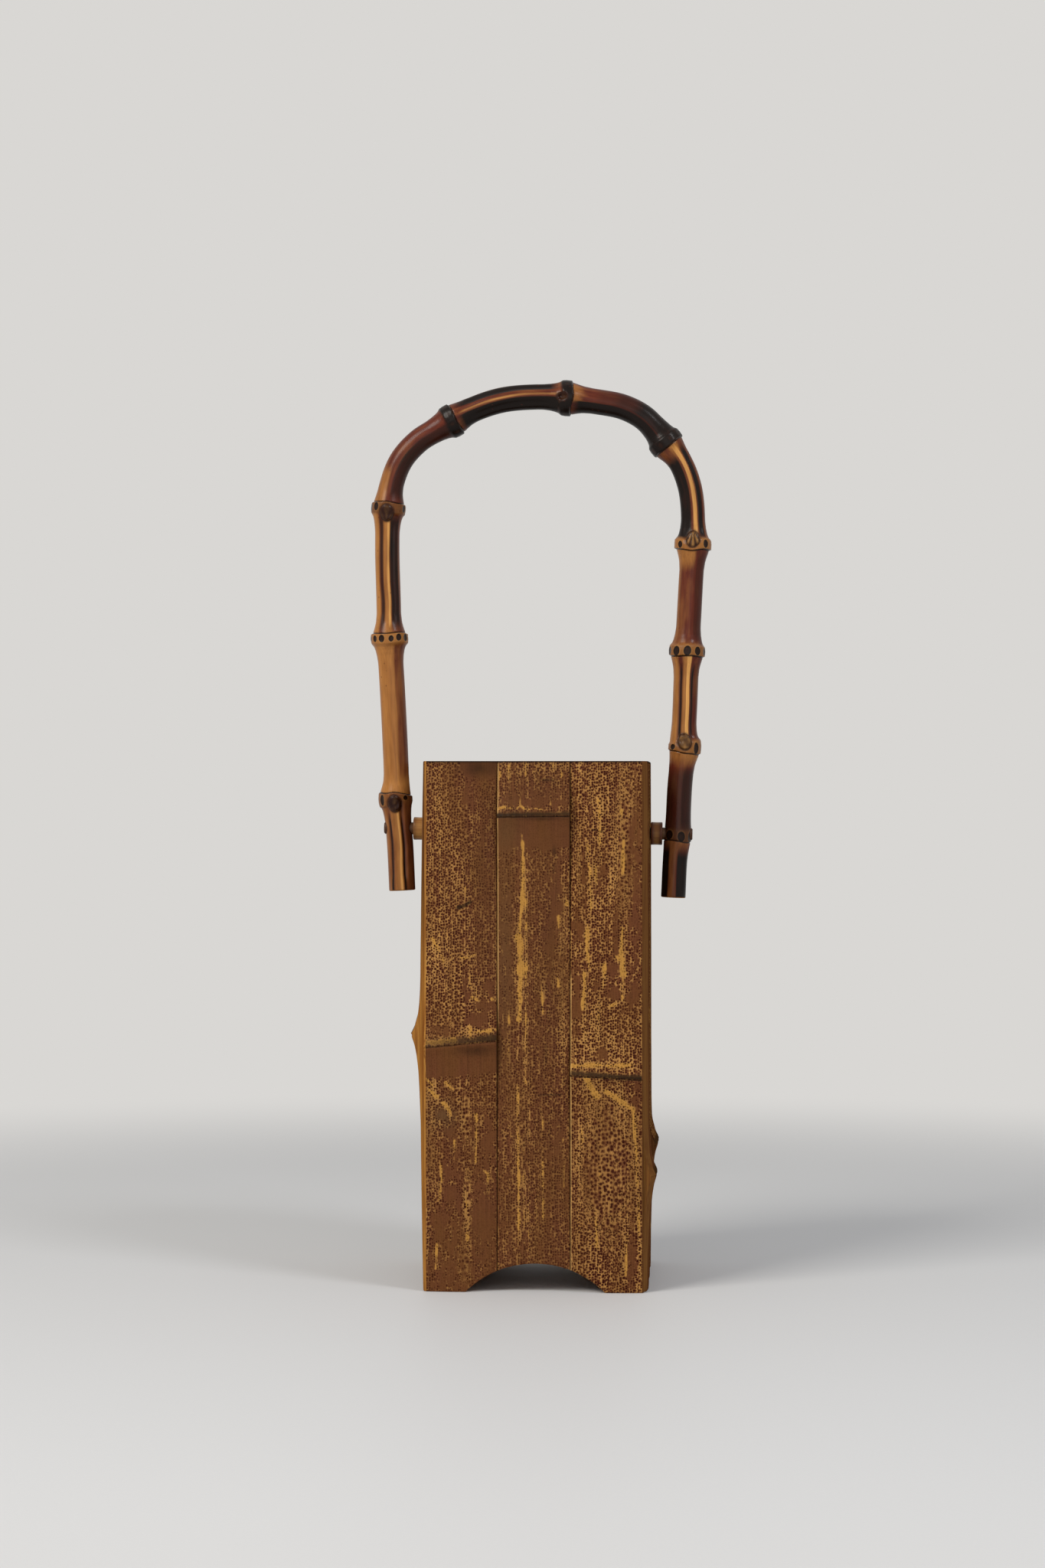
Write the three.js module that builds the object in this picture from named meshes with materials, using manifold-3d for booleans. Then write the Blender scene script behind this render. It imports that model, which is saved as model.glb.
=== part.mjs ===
// A square flower vase built of twelve bamboo planks, with a handle bent from a
// length of bamboo rhizome that swings on two pegs, and a lift-out tube for water.
// Millimetres, +Z up. The front faces -Y. The origin lies on the table, under the
// middle of the box.

import * as THREE from 'three';
import { mergeVertices } from 'three/addons/utils/BufferGeometryUtils.js';
import Module from 'manifold-3d';

const wasm = await Module();
wasm.setup();

// The box: sawn size, before the rounded culm skin that stands out from it
const boxWidth = 97.4;
const boxDepth = 97.4;
const boxHeight = 236;
const plankThickness = 7;
const seamGap = 0.3;

// The skin of a plank, measured out from the sawn face: at the plank's ends, how
// much it crowns across the plank, and how much it swells towards the node
const skinAtEnds = 1.1;
const skinCrown = 1;
const skinSwell = 1.7;
const skinRowPitch = 32;

// The node ridge across a plank
const ridgeHeight = 4.2;
const ridgeReachBelow = 40;
const ridgeReachAbove = 26;

// The foot arch in the front and back walls
const archSpan = 62;
const archRise = 12.75;
const archShift = 0.7;

// The pivot: pegs through the legs, the sleeves and the side walls
const pivotDropLeft = 30.5;
const pivotDropRight = 33.1;
const pegDiameter = 5.7;
const pegProud = 0.2;
const sleeveDiameter = 10.9;
const legStandOff = 7.2;

// The handle
const culmDiameter = 11.8;
const nodeDiameter = 17;
const nodeReach = 12;
const ringPitch = 8;
const budHeight = 1.4;
const budLength = 9;
const handleRise = 199.4;
const tailDrop = 30.4;

// The water tube, with room for a finger between it and the walls
const tubeRoom = 5.2;
const tubeDiameter = Math.min(boxWidth, boxDepth) - 2 * (plankThickness + tubeRoom);
const tubeWall = 5.5;
const tubeHeight = 142;
const tubeNodeSwell = 1.5;
const diaphragmLift = 8;
const diaphragmThickness = 4;

// The floor board and the cleats under it, which hide above the foot arches
const floorThickness = 8;
const cleatAboveArch = 1.25;
const cleatLift = archRise + cleatAboveArch;
const cleatHeight = 5.3;
const cleatWidth = 8;

// Clearances
const fitGap = 0.3;
const glueGap = 0.2;
const pegGap = 0.15;
const cutOverrun = 5;
const leastRowStep = 0.3;

// Facets
const skinColumns = 6;
const legSides = 16;
const pegSides = 24;
const tubeSides = 40;
const archSegments = 20;

// Ridge profile up the plank: place as a share of the reach below or above the
// crest, and height as a share of the ridge
const ridgeProfileShares = [
  [-1, 0], [-0.6, 0.11], [-0.42, 0.2], [-0.24, 0.4], [-0.12, 0.62], [-0.05, 0.86],
  [0, 1], [0.12, 0.61], [0.34, 0.23], [0.54, 0.1], [0.77, 0.03], [1, 0],
];
const swellPower = 1.5;

// Each wall turns by quarters from the front one and lists its planks from left to
// right, seen from outside: the node's height as a share of the box, the ridge as a
// share of ridgeHeight, and how far the ridge climbs across the plank as a share of
// the plank's width. The end and swell shares are of skinAtEnds and skinSwell.
const walls = [
  {
    turns: 0,
    arch: true,
    endShare: 0.8,
    swellShare: 0.9,
    planks: [
      { name: 'front_plank_left', nodeShare: 0.469, ridgeShare: 0.76, climbShare: 0.14 },
      { name: 'front_plank_centre', nodeShare: 0.897, ridgeShare: 0.7, climbShare: 0.012 },
      { name: 'front_plank_right', nodeShare: 0.407, ridgeShare: 0.74, climbShare: -0.06 },
    ],
  },
  {
    turns: 1,
    arch: false,
    endShare: 1.2,
    swellShare: 0.2,
    planks: [
      { name: 'right_plank_front', nodeShare: 0.221, ridgeShare: 0.86, climbShare: 0.03 },
      {
        name: 'right_plank_middle', nodeShare: 0.267, ridgeShare: 0.93, climbShare: 0.05, pegSide: 1,
      },
      { name: 'right_plank_back', nodeShare: 0.242, ridgeShare: 0.6, climbShare: -0.04 },
    ],
  },
  {
    turns: 2,
    arch: true,
    endShare: 0.9,
    swellShare: 0.8,
    planks: [
      { name: 'back_plank_right', nodeShare: 0.534, ridgeShare: 0.76, climbShare: 0.06 },
      { name: 'back_plank_centre', nodeShare: 0.754, ridgeShare: 0.72, climbShare: -0.05 },
      { name: 'back_plank_left', nodeShare: 0.271, ridgeShare: 0.7, climbShare: 0.04 },
    ],
  },
  {
    turns: 3,
    arch: false,
    endShare: 0.6,
    swellShare: 0.8,
    planks: [
      { name: 'left_plank_back', nodeShare: 0.631, ridgeShare: 0.7, climbShare: -0.05 },
      {
        name: 'left_plank_middle', nodeShare: 0.441, ridgeShare: 0.62, climbShare: 0.04, pegSide: -1,
      },
      { name: 'left_plank_front', nodeShare: 0.483, ridgeShare: 1, climbShare: 0.03 },
    ],
  },
];

// Handle centreline from the left leg's foot over the crown to the right leg's
// foot. Across is a share of the legs' distance from the middle at the pegs; up is
// a share of handleRise, or of tailDrop below the pegs. Node gives the node's
// diameter as a share of nodeDiameter, and culm the thickness of the stretch that
// follows as a share of culmDiameter.
const centrelineShares = [
  { across: -0.981, up: -0.9, culm: 1.05 },
  { across: -0.997, up: -0.2 },
  { across: -1.021, up: 0.055 },
  { across: -1.03, up: 0.072, node: 0.94, culm: 1.01 },
  { across: -1.024, up: 0.115 },
  { across: -1.032, up: 0.2 },
  { across: -1.053, up: 0.33 },
  { across: -1.073, up: 0.442, node: 1.03, culm: 0.98 },
  { across: -1.08, up: 0.53 },
  { across: -1.089, up: 0.65 },
  { across: -1.081, up: 0.742, node: 0.95, culm: 0.97 },
  { across: -1.052, up: 0.806 },
  { across: -0.984, up: 0.858 },
  { across: -0.865, up: 0.9 },
  { across: -0.742, up: 0.925 },
  { across: -0.631, up: 0.945, node: 0.95, culm: 1.01 },
  { across: -0.48, up: 0.971 },
  { across: -0.27, up: 0.993 },
  { across: -0.03, up: 1 },
  { across: 0.194, up: 0.997, node: 0.99, culm: 1.01 },
  { across: 0.42, up: 0.988 },
  { across: 0.6, up: 0.976 },
  { across: 0.74, up: 0.953 },
  { across: 0.832, up: 0.924 },
  { across: 0.905, up: 0.894, node: 0.98, culm: 0.96 },
  { across: 1.01, up: 0.848 },
  { across: 1.07, up: 0.8 },
  { across: 1.096, up: 0.752 },
  { across: 1.1, up: 0.66, node: 1.02, culm: 0.98 },
  { across: 1.085, up: 0.57 },
  { across: 1.07, up: 0.48 },
  { across: 1.059, up: 0.415, node: 1, culm: 0.99 },
  { across: 1.045, up: 0.3 },
  { across: 1.036, up: 0.22 },
  { across: 1.042, up: 0.195, node: 0.91, culm: 0.99 },
  { across: 1.022, up: 0.152 },
  { across: 1.006, up: 0.1 },
  { across: 0.995, up: 0.02 },
  { across: 0.992, up: -0.06, node: 0.77, culm: 0.98 },
  { across: 0.974, up: -0.4 },
  { across: 0.96, up: -1 },
];

// Node profile of the handle, in the direction the rhizome grew: a slow flare, the
// sharp edge of the sheath scar, the ring that carried the roots, a quick taper
const nodeProfileShares = [
  [-1, 0], [-0.67, 0.13], [-0.5, 0.3], [-0.32, 0.52], [-0.24, 0.64], [-0.2, 0.96],
  [0, 1], [0.15, 0.92], [0.27, 0.52], [0.4, 0.32], [0.6, 0.14], [0.85, 0.02], [1, 0],
];

// Bud profile along the handle from the scar's edge, as shares of budLength, and
// around it as the cosine's lower limit of the bulge
const budProfileShares = [[0, 0.4], [0.22, 1], [0.5, 0.9], [0.8, 0.35], [1, 0]];
const budSpreadShare = 0.62;

// Water tube profile: places as shares of the tube's wall and height
const tubeOutlineShares = { belowNode: 0.6, aboveNode: 1.35, waist: 0.55, lipRound: 0.18 };

const finishes = {
  skin: { color: 0xa9803f, roughness: 0.42, metalness: 0 },
  skinDark: { color: 0x8f6a35, roughness: 0.45, metalness: 0 },
  rhizome: { color: 0x7d4a28, roughness: 0.32, metalness: 0 },
  peg: { color: 0x9a6f3c, roughness: 0.5, metalness: 0 },
  sleeve: { color: 0x9c8540, roughness: 0.45, metalness: 0 },
  cedar: { color: 0xb78654, roughness: 0.75, metalness: 0 },
  tube: { color: 0xc7a765, roughness: 0.5, metalness: 0 },
};

function materialOf(finish) {
  return new THREE.MeshStandardMaterial(finishes[finish]);
}

function namedMesh(name, geometry, finish) {
  const mesh = new THREE.Mesh(geometry, materialOf(finish));
  mesh.name = name;
  return mesh;
}

// Height of a stepped profile of [place, height] pairs at a place, straight between
function along(profile, place) {
  if (place <= profile[0][0]) {
    return profile[0][1];
  }
  for (let i = 1; i < profile.length; i += 1) {
    const [from, low] = profile[i - 1];
    const [to, high] = profile[i];
    if (place <= to) {
      return low + ((high - low) * (place - from)) / (to - from);
    }
  }
  return profile[profile.length - 1][1];
}

// A closed skin over rings of equal length, with flat ends
function loft(rings) {
  const count = rings[0].length;
  const positions = rings.flat().flatMap((p) => [p.x, p.y, p.z]);
  const index = [];
  for (let r = 0; r + 1 < rings.length; r += 1) {
    for (let i = 0; i < count; i += 1) {
      const a = r * count + i;
      const b = r * count + ((i + 1) % count);
      index.push(a, b, b + count, a, b + count, a + count);
    }
  }
  const last = (rings.length - 1) * count;
  for (let i = 1; i + 1 < count; i += 1) {
    index.push(0, i + 1, i);
    index.push(last, last + i, last + i + 1);
  }
  const geometry = new THREE.BufferGeometry();
  geometry.setAttribute('position', new THREE.Float32BufferAttribute(positions, 3));
  geometry.setIndex(index);
  geometry.computeVertexNormals();
  return geometry;
}

function toSolid(geometry) {
  const bare = geometry.clone();
  bare.deleteAttribute('normal');
  bare.deleteAttribute('uv');
  const merged = mergeVertices(bare);
  return new wasm.Manifold(new wasm.Mesh({
    numProp: 3,
    vertProperties: new Float32Array(merged.attributes.position.array),
    triVerts: new Uint32Array(merged.index.array),
  }));
}

function toGeometry(solid) {
  const { vertProperties, triVerts } = solid.getMesh();
  const geometry = new THREE.BufferGeometry();
  geometry.setAttribute('position', new THREE.BufferAttribute(vertProperties, 3));
  geometry.setIndex(new THREE.BufferAttribute(triVerts, 1));
  geometry.computeVertexNormals();
  return geometry;
}

function cut(geometry, cutter) {
  return toGeometry(toSolid(geometry).subtract(toSolid(cutter)));
}

// Height of a plank's skin above its sawn face, where across runs from -1 to 1
function skinHeight(wall, plank, z, across) {
  const node = plank.nodeShare * boxHeight;
  const room = z < node ? node : boxHeight - node;
  const away = Math.abs(z - node) / room;
  const reach = z < node ? ridgeReachBelow : ridgeReachAbove;
  const ridge = ridgeHeight * plank.ridgeShare * along(ridgeProfileShares, (z - node) / reach);
  const swell = skinSwell * wall.swellShare * (1 - Math.min(away, 1) ** swellPower);
  return skinAtEnds * wall.endShare + skinCrown * (1 - across * across) + swell + ridge;
}

// Heights at which a plank's skin needs a row: the ridge's own rows, and even
// steps up to both ends
function skinRows(plank) {
  const node = plank.nodeShare * boxHeight;
  const ridge = ridgeProfileShares.map(([place]) => (
    node + place * (place < 0 ? ridgeReachBelow : ridgeReachAbove)
  )).filter((z) => z > leastRowStep && z < boxHeight - leastRowStep);
  const rows = [0, ...ridge, boxHeight];
  const filled = [];
  rows.forEach((z, i) => {
    filled.push(z);
    const next = rows[i + 1] ?? z;
    const steps = Math.ceil((next - z) / skinRowPitch);
    for (let k = 1; k < steps; k += 1) {
      filled.push(z + ((next - z) * k) / steps);
    }
  });
  return filled;
}

// A plank in its wall's frame: x runs along the wall and the skin faces -y. The
// planks at a wall's ends are mitred to the corner, and their skin is cut flush.
function plankGeometry(wall, slot, wallWidth, faceDistance) {
  const plank = wall.planks[slot];
  const slots = wall.planks.length;
  const width = wallWidth / slots;
  const left = -wallWidth / 2 + slot * width;
  const right = left + width;
  const node = plank.nodeShare * boxHeight;
  const mitreGap = (seamGap / 2) * Math.SQRT2;
  const atLeftCorner = slot === 0;
  const atRightCorner = slot === slots - 1;
  const outerLeft = left + (atLeftCorner ? mitreGap : seamGap / 2);
  const outerRight = right - (atRightCorner ? mitreGap : seamGap / 2);
  const innerLeft = outerLeft + (atLeftCorner ? plankThickness : 0);
  const innerRight = outerRight - (atRightCorner ? plankThickness : 0);
  const rings = skinRows(plank).map((z) => {
    const room = z < node ? node : boxHeight - node;
    const climb = plank.climbShare * width * (1 - Math.abs(z - node) / room);
    const point = (x, out) => {
      const share = (x - left) / width - 1 / 2;
      return new THREE.Vector3(x, -faceDistance - out, z + climb * share);
    };
    const skin = [];
    for (let i = 0; i <= skinColumns; i += 1) {
      const share = i / skinColumns;
      const x = outerLeft + (outerRight - outerLeft) * share;
      skin.push(point(x, skinHeight(wall, plank, z, 2 * share - 1)));
    }
    return [
      point(outerLeft, 0),
      ...skin,
      point(outerRight, 0),
      point(innerRight, -plankThickness),
      point(innerLeft, -plankThickness),
    ];
  });
  return loft(rings);
}

// The foot arch: a slice of a circle that reaches through the wall
function archCutter(faceDistance) {
  const radius = (archSpan * archSpan / 4 + archRise * archRise) / (2 * archRise);
  const half = Math.acos((radius - archRise) / radius);
  const outline = new THREE.Shape();
  outline.absarc(archShift, archRise - radius, radius, Math.PI / 2 - half, Math.PI / 2 + half);
  outline.lineTo(archShift - archSpan / 2, -cutOverrun);
  outline.lineTo(archShift + archSpan / 2, -cutOverrun);
  outline.closePath();
  const skinRoom = skinAtEnds + skinCrown + skinSwell + ridgeHeight;
  const depth = plankThickness + skinRoom + 2 * cutOverrun;
  const cutter = new THREE.ExtrudeGeometry(outline, {
    depth,
    bevelEnabled: false,
    curveSegments: archSegments,
  });
  cutter.rotateX(Math.PI / 2);
  cutter.translate(0, -faceDistance + plankThickness + cutOverrun, 0);
  return cutter;
}

// The pivot axis runs through both pegs, a little lower on the right
const pivotHeight = boxHeight - (pivotDropLeft + pivotDropRight) / 2;

// Distance of the skin from the middle of the box where a peg passes through it
function skinAtPeg(side) {
  const wall = walls.find(({ planks }) => planks.some((plank) => plank.pegSide === side));
  const plank = wall.planks.find(({ pegSide }) => pegSide === side);
  return boxWidth / 2 + skinHeight(wall, plank, pivotHeight, 0);
}

const legReach = Math.max(skinAtPeg(-1), skinAtPeg(1)) + legStandOff + culmDiameter / 2;
const pivotTilt = Math.atan2(pivotDropRight - pivotDropLeft, 2 * legReach);

// A round bar or hole along the pivot axis between two places on it, in the frame
// of a group that stands at the pivot
function pivotBar(from, to, diameter) {
  const bar = new THREE.CylinderGeometry(diameter / 2, diameter / 2, to - from, pegSides);
  bar.rotateZ(Math.PI / 2);
  bar.translate((from + to) / 2, 0, 0);
  bar.rotateY(pivotTilt);
  return bar;
}

function buildWall(wall) {
  const sideways = wall.turns % 2 === 1;
  const wallWidth = sideways ? boxDepth : boxWidth;
  const faceDistance = (sideways ? boxWidth : boxDepth) / 2;
  const group = new THREE.Group();
  group.rotation.z = (wall.turns * Math.PI) / 2;
  group.updateMatrixWorld();
  wall.planks.forEach((plank, slot) => {
    let geometry = plankGeometry(wall, slot, wallWidth, faceDistance);
    if (wall.arch) {
      geometry = cut(geometry, archCutter(faceDistance));
    }
    if (plank.pegSide) {
      const hole = pivotBar(-legReach, legReach, pegDiameter + 2 * pegGap);
      hole.translate(0, 0, pivotHeight);
      hole.applyMatrix4(group.matrixWorld.clone().invert());
      geometry = cut(geometry, hole);
    }
    group.add(namedMesh(plank.name, geometry, slot === 1 ? 'skin' : 'skinDark'));
  });
  return group;
}

// The handle's centreline and the places of its nodes along it, in the frame of a
// group that stands at the pivot
function handleCourse() {
  const points = centrelineShares.map(({ across, up }) => (
    new THREE.Vector3(across * legReach, 0, up * (up < 0 ? tailDrop : handleRise))
  ));
  const curve = new THREE.CatmullRomCurve3(points, false, 'centripetal');
  const samplesPerSpan = 24;
  curve.arcLengthDivisions = (points.length - 1) * samplesPerSpan;
  const lengths = curve.getLengths();
  const stops = centrelineShares.map((point, i) => ({ ...point, at: lengths[i * samplesPerSpan] }));
  return { curve, length: curve.getLength(), stops };
}

const course = handleCourse();
const nodes = course.stops.filter((stop) => stop.node)
  .map((stop, i) => ({ ...stop, faces: i % 2 === 0 ? -1 : 1 }));

// Thickness of the bare culm at a place along the handle, eased across each node
function culmRadius(at) {
  const stretches = course.stops.filter((stop) => stop.culm);
  let share = stretches[0].culm;
  stretches.slice(1).forEach((stop) => {
    const ease = THREE.MathUtils.smoothstep(at, stop.at - nodeReach, stop.at + nodeReach);
    share += (stop.culm - share) * ease;
  });
  return (share * culmDiameter) / 2;
}

// Radius of the handle at a place along it. The rhizome grew from the right foot
// to the left one, so growth runs against the centreline. The buds face front and
// back by turns.
function handleRadius(at, towardsBack) {
  const base = culmRadius(at);
  let radius = base;
  nodes.forEach((node) => {
    const grown = node.at - at;
    const swell = (node.node * nodeDiameter) / 2 - culmRadius(node.at);
    radius += swell * along(nodeProfileShares, grown / nodeReach);
    const facing = (towardsBack * node.faces - budSpreadShare) / (1 - budSpreadShare);
    if (facing > 0 && grown > 0 && grown < budLength) {
      radius += budHeight * Math.sqrt(facing) * along(budProfileShares, grown / budLength);
    }
  });
  return radius;
}

// Places along the handle that need a ring: the node profiles, and even steps
function handleRings() {
  const places = [0, course.length];
  nodes.forEach((node) => {
    nodeProfileShares.forEach(([share]) => places.push(node.at - share * nodeReach));
  });
  const inside = places.filter((at) => at >= 0 && at <= course.length).sort((a, b) => a - b);
  const apart = inside.filter((at, i) => i === 0 || at - inside[i - 1] > leastRowStep);
  apart[apart.length - 1] = course.length;
  const filled = [];
  apart.forEach((at, i) => {
    filled.push(at);
    const next = apart[i + 1] ?? at;
    const steps = Math.ceil((next - at) / ringPitch);
    for (let k = 1; k < steps; k += 1) {
      filled.push(at + ((next - at) * k) / steps);
    }
  });
  return filled;
}

function handleGeometry() {
  const rings = handleRings().map((at) => {
    const centre = course.curve.getPointAt(at / course.length);
    const tangent = course.curve.getTangentAt(at / course.length);
    const side = new THREE.Vector3(tangent.z, 0, -tangent.x);
    const ring = [];
    for (let i = 0; i < legSides; i += 1) {
      const angle = (2 * Math.PI * i) / legSides;
      const towardsBack = Math.sin(angle);
      const radius = handleRadius(at, towardsBack);
      const point = centre.clone().addScaledVector(side, radius * Math.cos(angle));
      point.y += radius * towardsBack;
      ring.push(point);
    }
    return ring;
  });
  return loft(rings);
}

// Where the handle's leg lies along the pivot axis, as distances from the middle of
// the box: its near face within the sleeve's rim, and its far face at the peg
function legFaces(side) {
  const steps = 400;
  const axisDrop = side * Math.tan(pivotTilt) * legReach;
  let near = legReach;
  let far = legReach;
  for (let i = 0; i <= steps; i += 1) {
    const centre = course.curve.getPointAt(i / steps);
    const radius = handleRadius((course.length * i) / steps, 0);
    const reach = centre.x * side;
    const height = Math.abs(centre.z + axisDrop);
    if (reach > 0 && height < sleeveDiameter / 2) {
      near = Math.min(near, reach - radius);
    }
    if (reach > 0 && height < pegDiameter / 2) {
      far = Math.max(far, reach + radius);
    }
  }
  return { near, far };
}

function buildHandle() {
  const hole = pivotBar(-2 * legReach, 2 * legReach, pegDiameter + 2 * fitGap);
  const handle = namedMesh('handle', cut(handleGeometry(), hole), 'rhizome');
  handle.position.z = pivotHeight;
  return handle;
}

// One side of the pivot: the hollow sleeve that keeps the leg off the wall, and the
// peg through leg, sleeve and wall
function buildPivot(name, side) {
  const group = new THREE.Group();
  group.position.z = pivotHeight;
  const leg = legFaces(side);
  const bar = (from, to, diameter) => (
    side > 0 ? pivotBar(from, to, diameter) : pivotBar(-to, -from, diameter)
  );
  const sleeve = bar(skinAtPeg(side) + fitGap, leg.near - fitGap, sleeveDiameter);
  const bore = bar(0, 2 * legReach, pegDiameter + 2 * pegGap);
  group.add(namedMesh(`${name}_sleeve`, cut(sleeve, bore), 'sleeve'));
  const inner = boxWidth / 2 - plankThickness - pegProud;
  group.add(namedMesh(`${name}_peg`, bar(inner, leg.far + pegProud, pegDiameter), 'peg'));
  return group;
}

// The floor board rests on four cleats glued to the walls
const floorTop = cleatLift + cleatHeight + floorThickness;
const innerWidth = boxWidth - 2 * plankThickness;
const innerDepth = boxDepth - 2 * plankThickness;

function buildFloor() {
  const group = new THREE.Group();
  const board = new THREE.BoxGeometry(
    innerWidth - 2 * fitGap,
    innerDepth - 2 * fitGap,
    floorThickness - glueGap,
  );
  const boardMesh = namedMesh('floor_board', board, 'cedar');
  boardMesh.position.z = floorTop - (floorThickness - glueGap) / 2;
  group.add(boardMesh);
  const longCleat = innerWidth - 2 * glueGap;
  const shortCleat = innerDepth - 2 * cleatWidth - 4 * glueGap;
  [['front', -1], ['back', 1]].forEach(([side, sign]) => {
    const bar = new THREE.BoxGeometry(longCleat, cleatWidth, cleatHeight);
    const cleat = namedMesh(`${side}_cleat`, bar, 'cedar');
    const away = innerDepth / 2 - glueGap - cleatWidth / 2;
    cleat.position.set(0, sign * away, cleatLift + cleatHeight / 2);
    group.add(cleat);
  });
  [['left', -1], ['right', 1]].forEach(([side, sign]) => {
    const bar = new THREE.BoxGeometry(cleatWidth, shortCleat, cleatHeight);
    const cleat = namedMesh(`${side}_cleat`, bar, 'cedar');
    const away = innerWidth / 2 - glueGap - cleatWidth / 2;
    cleat.position.set(sign * away, 0, cleatLift + cleatHeight / 2);
    group.add(cleat);
  });
  return group;
}

// The water tube: a length of culm sawn under a node, whose own wall is the bottom
function buildTube() {
  const outer = tubeDiameter / 2;
  const inner = outer - tubeWall;
  const shares = tubeOutlineShares;
  const bottom = diaphragmLift + diaphragmThickness;
  const middle = diaphragmLift + diaphragmThickness / 2;
  const round = tubeWall * shares.lipRound;
  const waist = outer - round / 2;
  const profile = [
    [0, diaphragmLift],
    [inner, diaphragmLift],
    [inner, 0],
    [outer - round, 0],
    [outer, round],
    [outer, middle * shares.belowNode],
    [outer + tubeNodeSwell, middle - round],
    [outer + tubeNodeSwell, middle + round],
    [outer, middle * shares.aboveNode + tubeNodeSwell],
    [waist, tubeHeight * shares.waist],
    [outer, tubeHeight - round],
    [outer - round, tubeHeight],
    [inner + round, tubeHeight],
    [inner, tubeHeight - round],
    [inner, bottom + tubeWall],
    [inner - tubeWall / 2, bottom + round],
    [0, bottom],
  ].map(([radius, height]) => new THREE.Vector2(radius, height));
  const tube = new THREE.LatheGeometry(profile, tubeSides);
  tube.rotateX(Math.PI / 2);
  const mesh = namedMesh('water_tube', tube, 'tube');
  mesh.position.z = floorTop + glueGap;
  return mesh;
}

const vase = new THREE.Group();
walls.forEach((wall) => vase.add(buildWall(wall)));
vase.add(buildFloor());
vase.add(buildTube());
vase.add(buildHandle());
vase.add(buildPivot('left', -1));
vase.add(buildPivot('right', 1));

export default vase;
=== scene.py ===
import math
import bpy
import numpy as np
from mathutils import Matrix, Vector


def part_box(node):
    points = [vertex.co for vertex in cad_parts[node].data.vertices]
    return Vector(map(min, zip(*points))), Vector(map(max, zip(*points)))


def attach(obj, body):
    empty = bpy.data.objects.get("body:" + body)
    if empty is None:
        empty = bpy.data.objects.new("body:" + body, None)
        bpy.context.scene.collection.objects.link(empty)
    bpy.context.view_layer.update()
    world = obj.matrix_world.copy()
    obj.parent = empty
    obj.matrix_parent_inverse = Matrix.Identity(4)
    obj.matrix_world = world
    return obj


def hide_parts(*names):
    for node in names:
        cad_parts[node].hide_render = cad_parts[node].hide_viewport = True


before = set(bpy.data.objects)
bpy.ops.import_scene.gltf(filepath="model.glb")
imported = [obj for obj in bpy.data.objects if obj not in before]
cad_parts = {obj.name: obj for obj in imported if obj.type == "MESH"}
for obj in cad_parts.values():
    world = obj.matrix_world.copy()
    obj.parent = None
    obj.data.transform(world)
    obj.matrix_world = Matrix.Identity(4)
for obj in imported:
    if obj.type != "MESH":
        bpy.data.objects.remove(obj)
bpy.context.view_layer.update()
mm = 0.001  # every size below is in millimetres, as in the drawing of the part
print("frame loaded with", len(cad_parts), "solids")


def hexColour(code):
    steps = [int(code[i:i + 2], 16) / 255 for i in (0, 2, 4)]
    return (*[s / 12.92 if s <= 0.04045 else ((s + 0.055) / 1.055) ** 2.4 for s in steps], 1)


# Adds one node. An input is a number, a colour's hex code, a socket, or a node whose first
# output in use is meant. Inputs in a tuple go to the node's sockets in their order, which is
# value, from, from, to, to for a MapRange
def addNode(tree, kind, inputs=(), **settings):
    node = tree.nodes.new("ShaderNode" + kind)
    for key, value in settings.items():
        setattr(node, key, value)
    for key, value in (enumerate(inputs) if isinstance(inputs, tuple) else inputs.items()):
        if isinstance(value, bpy.types.Node):
            value = next(output for output in value.outputs if output.enabled)
        if isinstance(value, bpy.types.NodeSocket):
            tree.links.new(value, node.inputs[key])
        else:
            node.inputs[key].default_value = hexColour(value) if isinstance(value, str) else value
    return node


def newMaterial(name):
    material = bpy.data.materials.new(name)
    material.use_nodes = True
    material.node_tree.nodes.clear()
    return material, material.node_tree


# A texture that is squeezed or drawn out along each axis, as fibres and streaks are
def drawnTexture(tree, kind, place, stretch, inputs):
    drawn = addNode(tree, "VectorMath", (place, stretch), operation="MULTIPLY")
    return addNode(tree, kind, {"Vector": drawn, "Scale": 1.0, **inputs})


# The bump of the grain, the shader and the output, which close each material
def closeMaterial(tree, height, strength, depth, inputs):
    bump = addNode(tree, "Bump", {"Strength": strength, "Distance": depth * mm, "Height": height})
    shader = addNode(tree, "BsdfPrincipled", {**inputs, "IOR": 1.5, "Normal": bump})
    addNode(tree, "OutputMaterial", {"Surface": shader})


# 1 for a ray that shows the camera its end, straight, in a mirror or through glass
def shownRays(tree):
    rays = addNode(tree, "LightPath")
    seen = addNode(tree, "Math", (rays.outputs["Is Camera Ray"], rays.outputs["Is Glossy Ray"]),
                   operation="MAXIMUM")
    return addNode(tree, "Math", (seen, rays.outputs["Is Transmission Ray"]), operation="MAXIMUM")


# Camera, where the photograph was taken from
camera = {
    "place": (71.0, -1499.3, 225.8),
    "turnedLeft": 3.0,  # degrees
    "lens": 75.0, "film": 36,  # the long side of the frame
    "farEnd": 20000,
}
lensData = bpy.data.cameras.new("studioCamera")
lensData.lens = camera["lens"]
lensData.sensor_width = camera["film"]
lensData.clip_end = camera["farEnd"] * mm
cameraObject = bpy.data.objects.new("studioCamera", lensData)
bpy.context.scene.collection.objects.link(cameraObject)
bpy.context.scene.camera = cameraObject
cameraObject.location = Vector(camera["place"]) * mm
cameraObject.rotation_euler = (math.pi / 2, 0, math.radians(camera["turnedLeft"]))
bpy.context.scene.view_settings.view_transform = "Standard"

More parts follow.
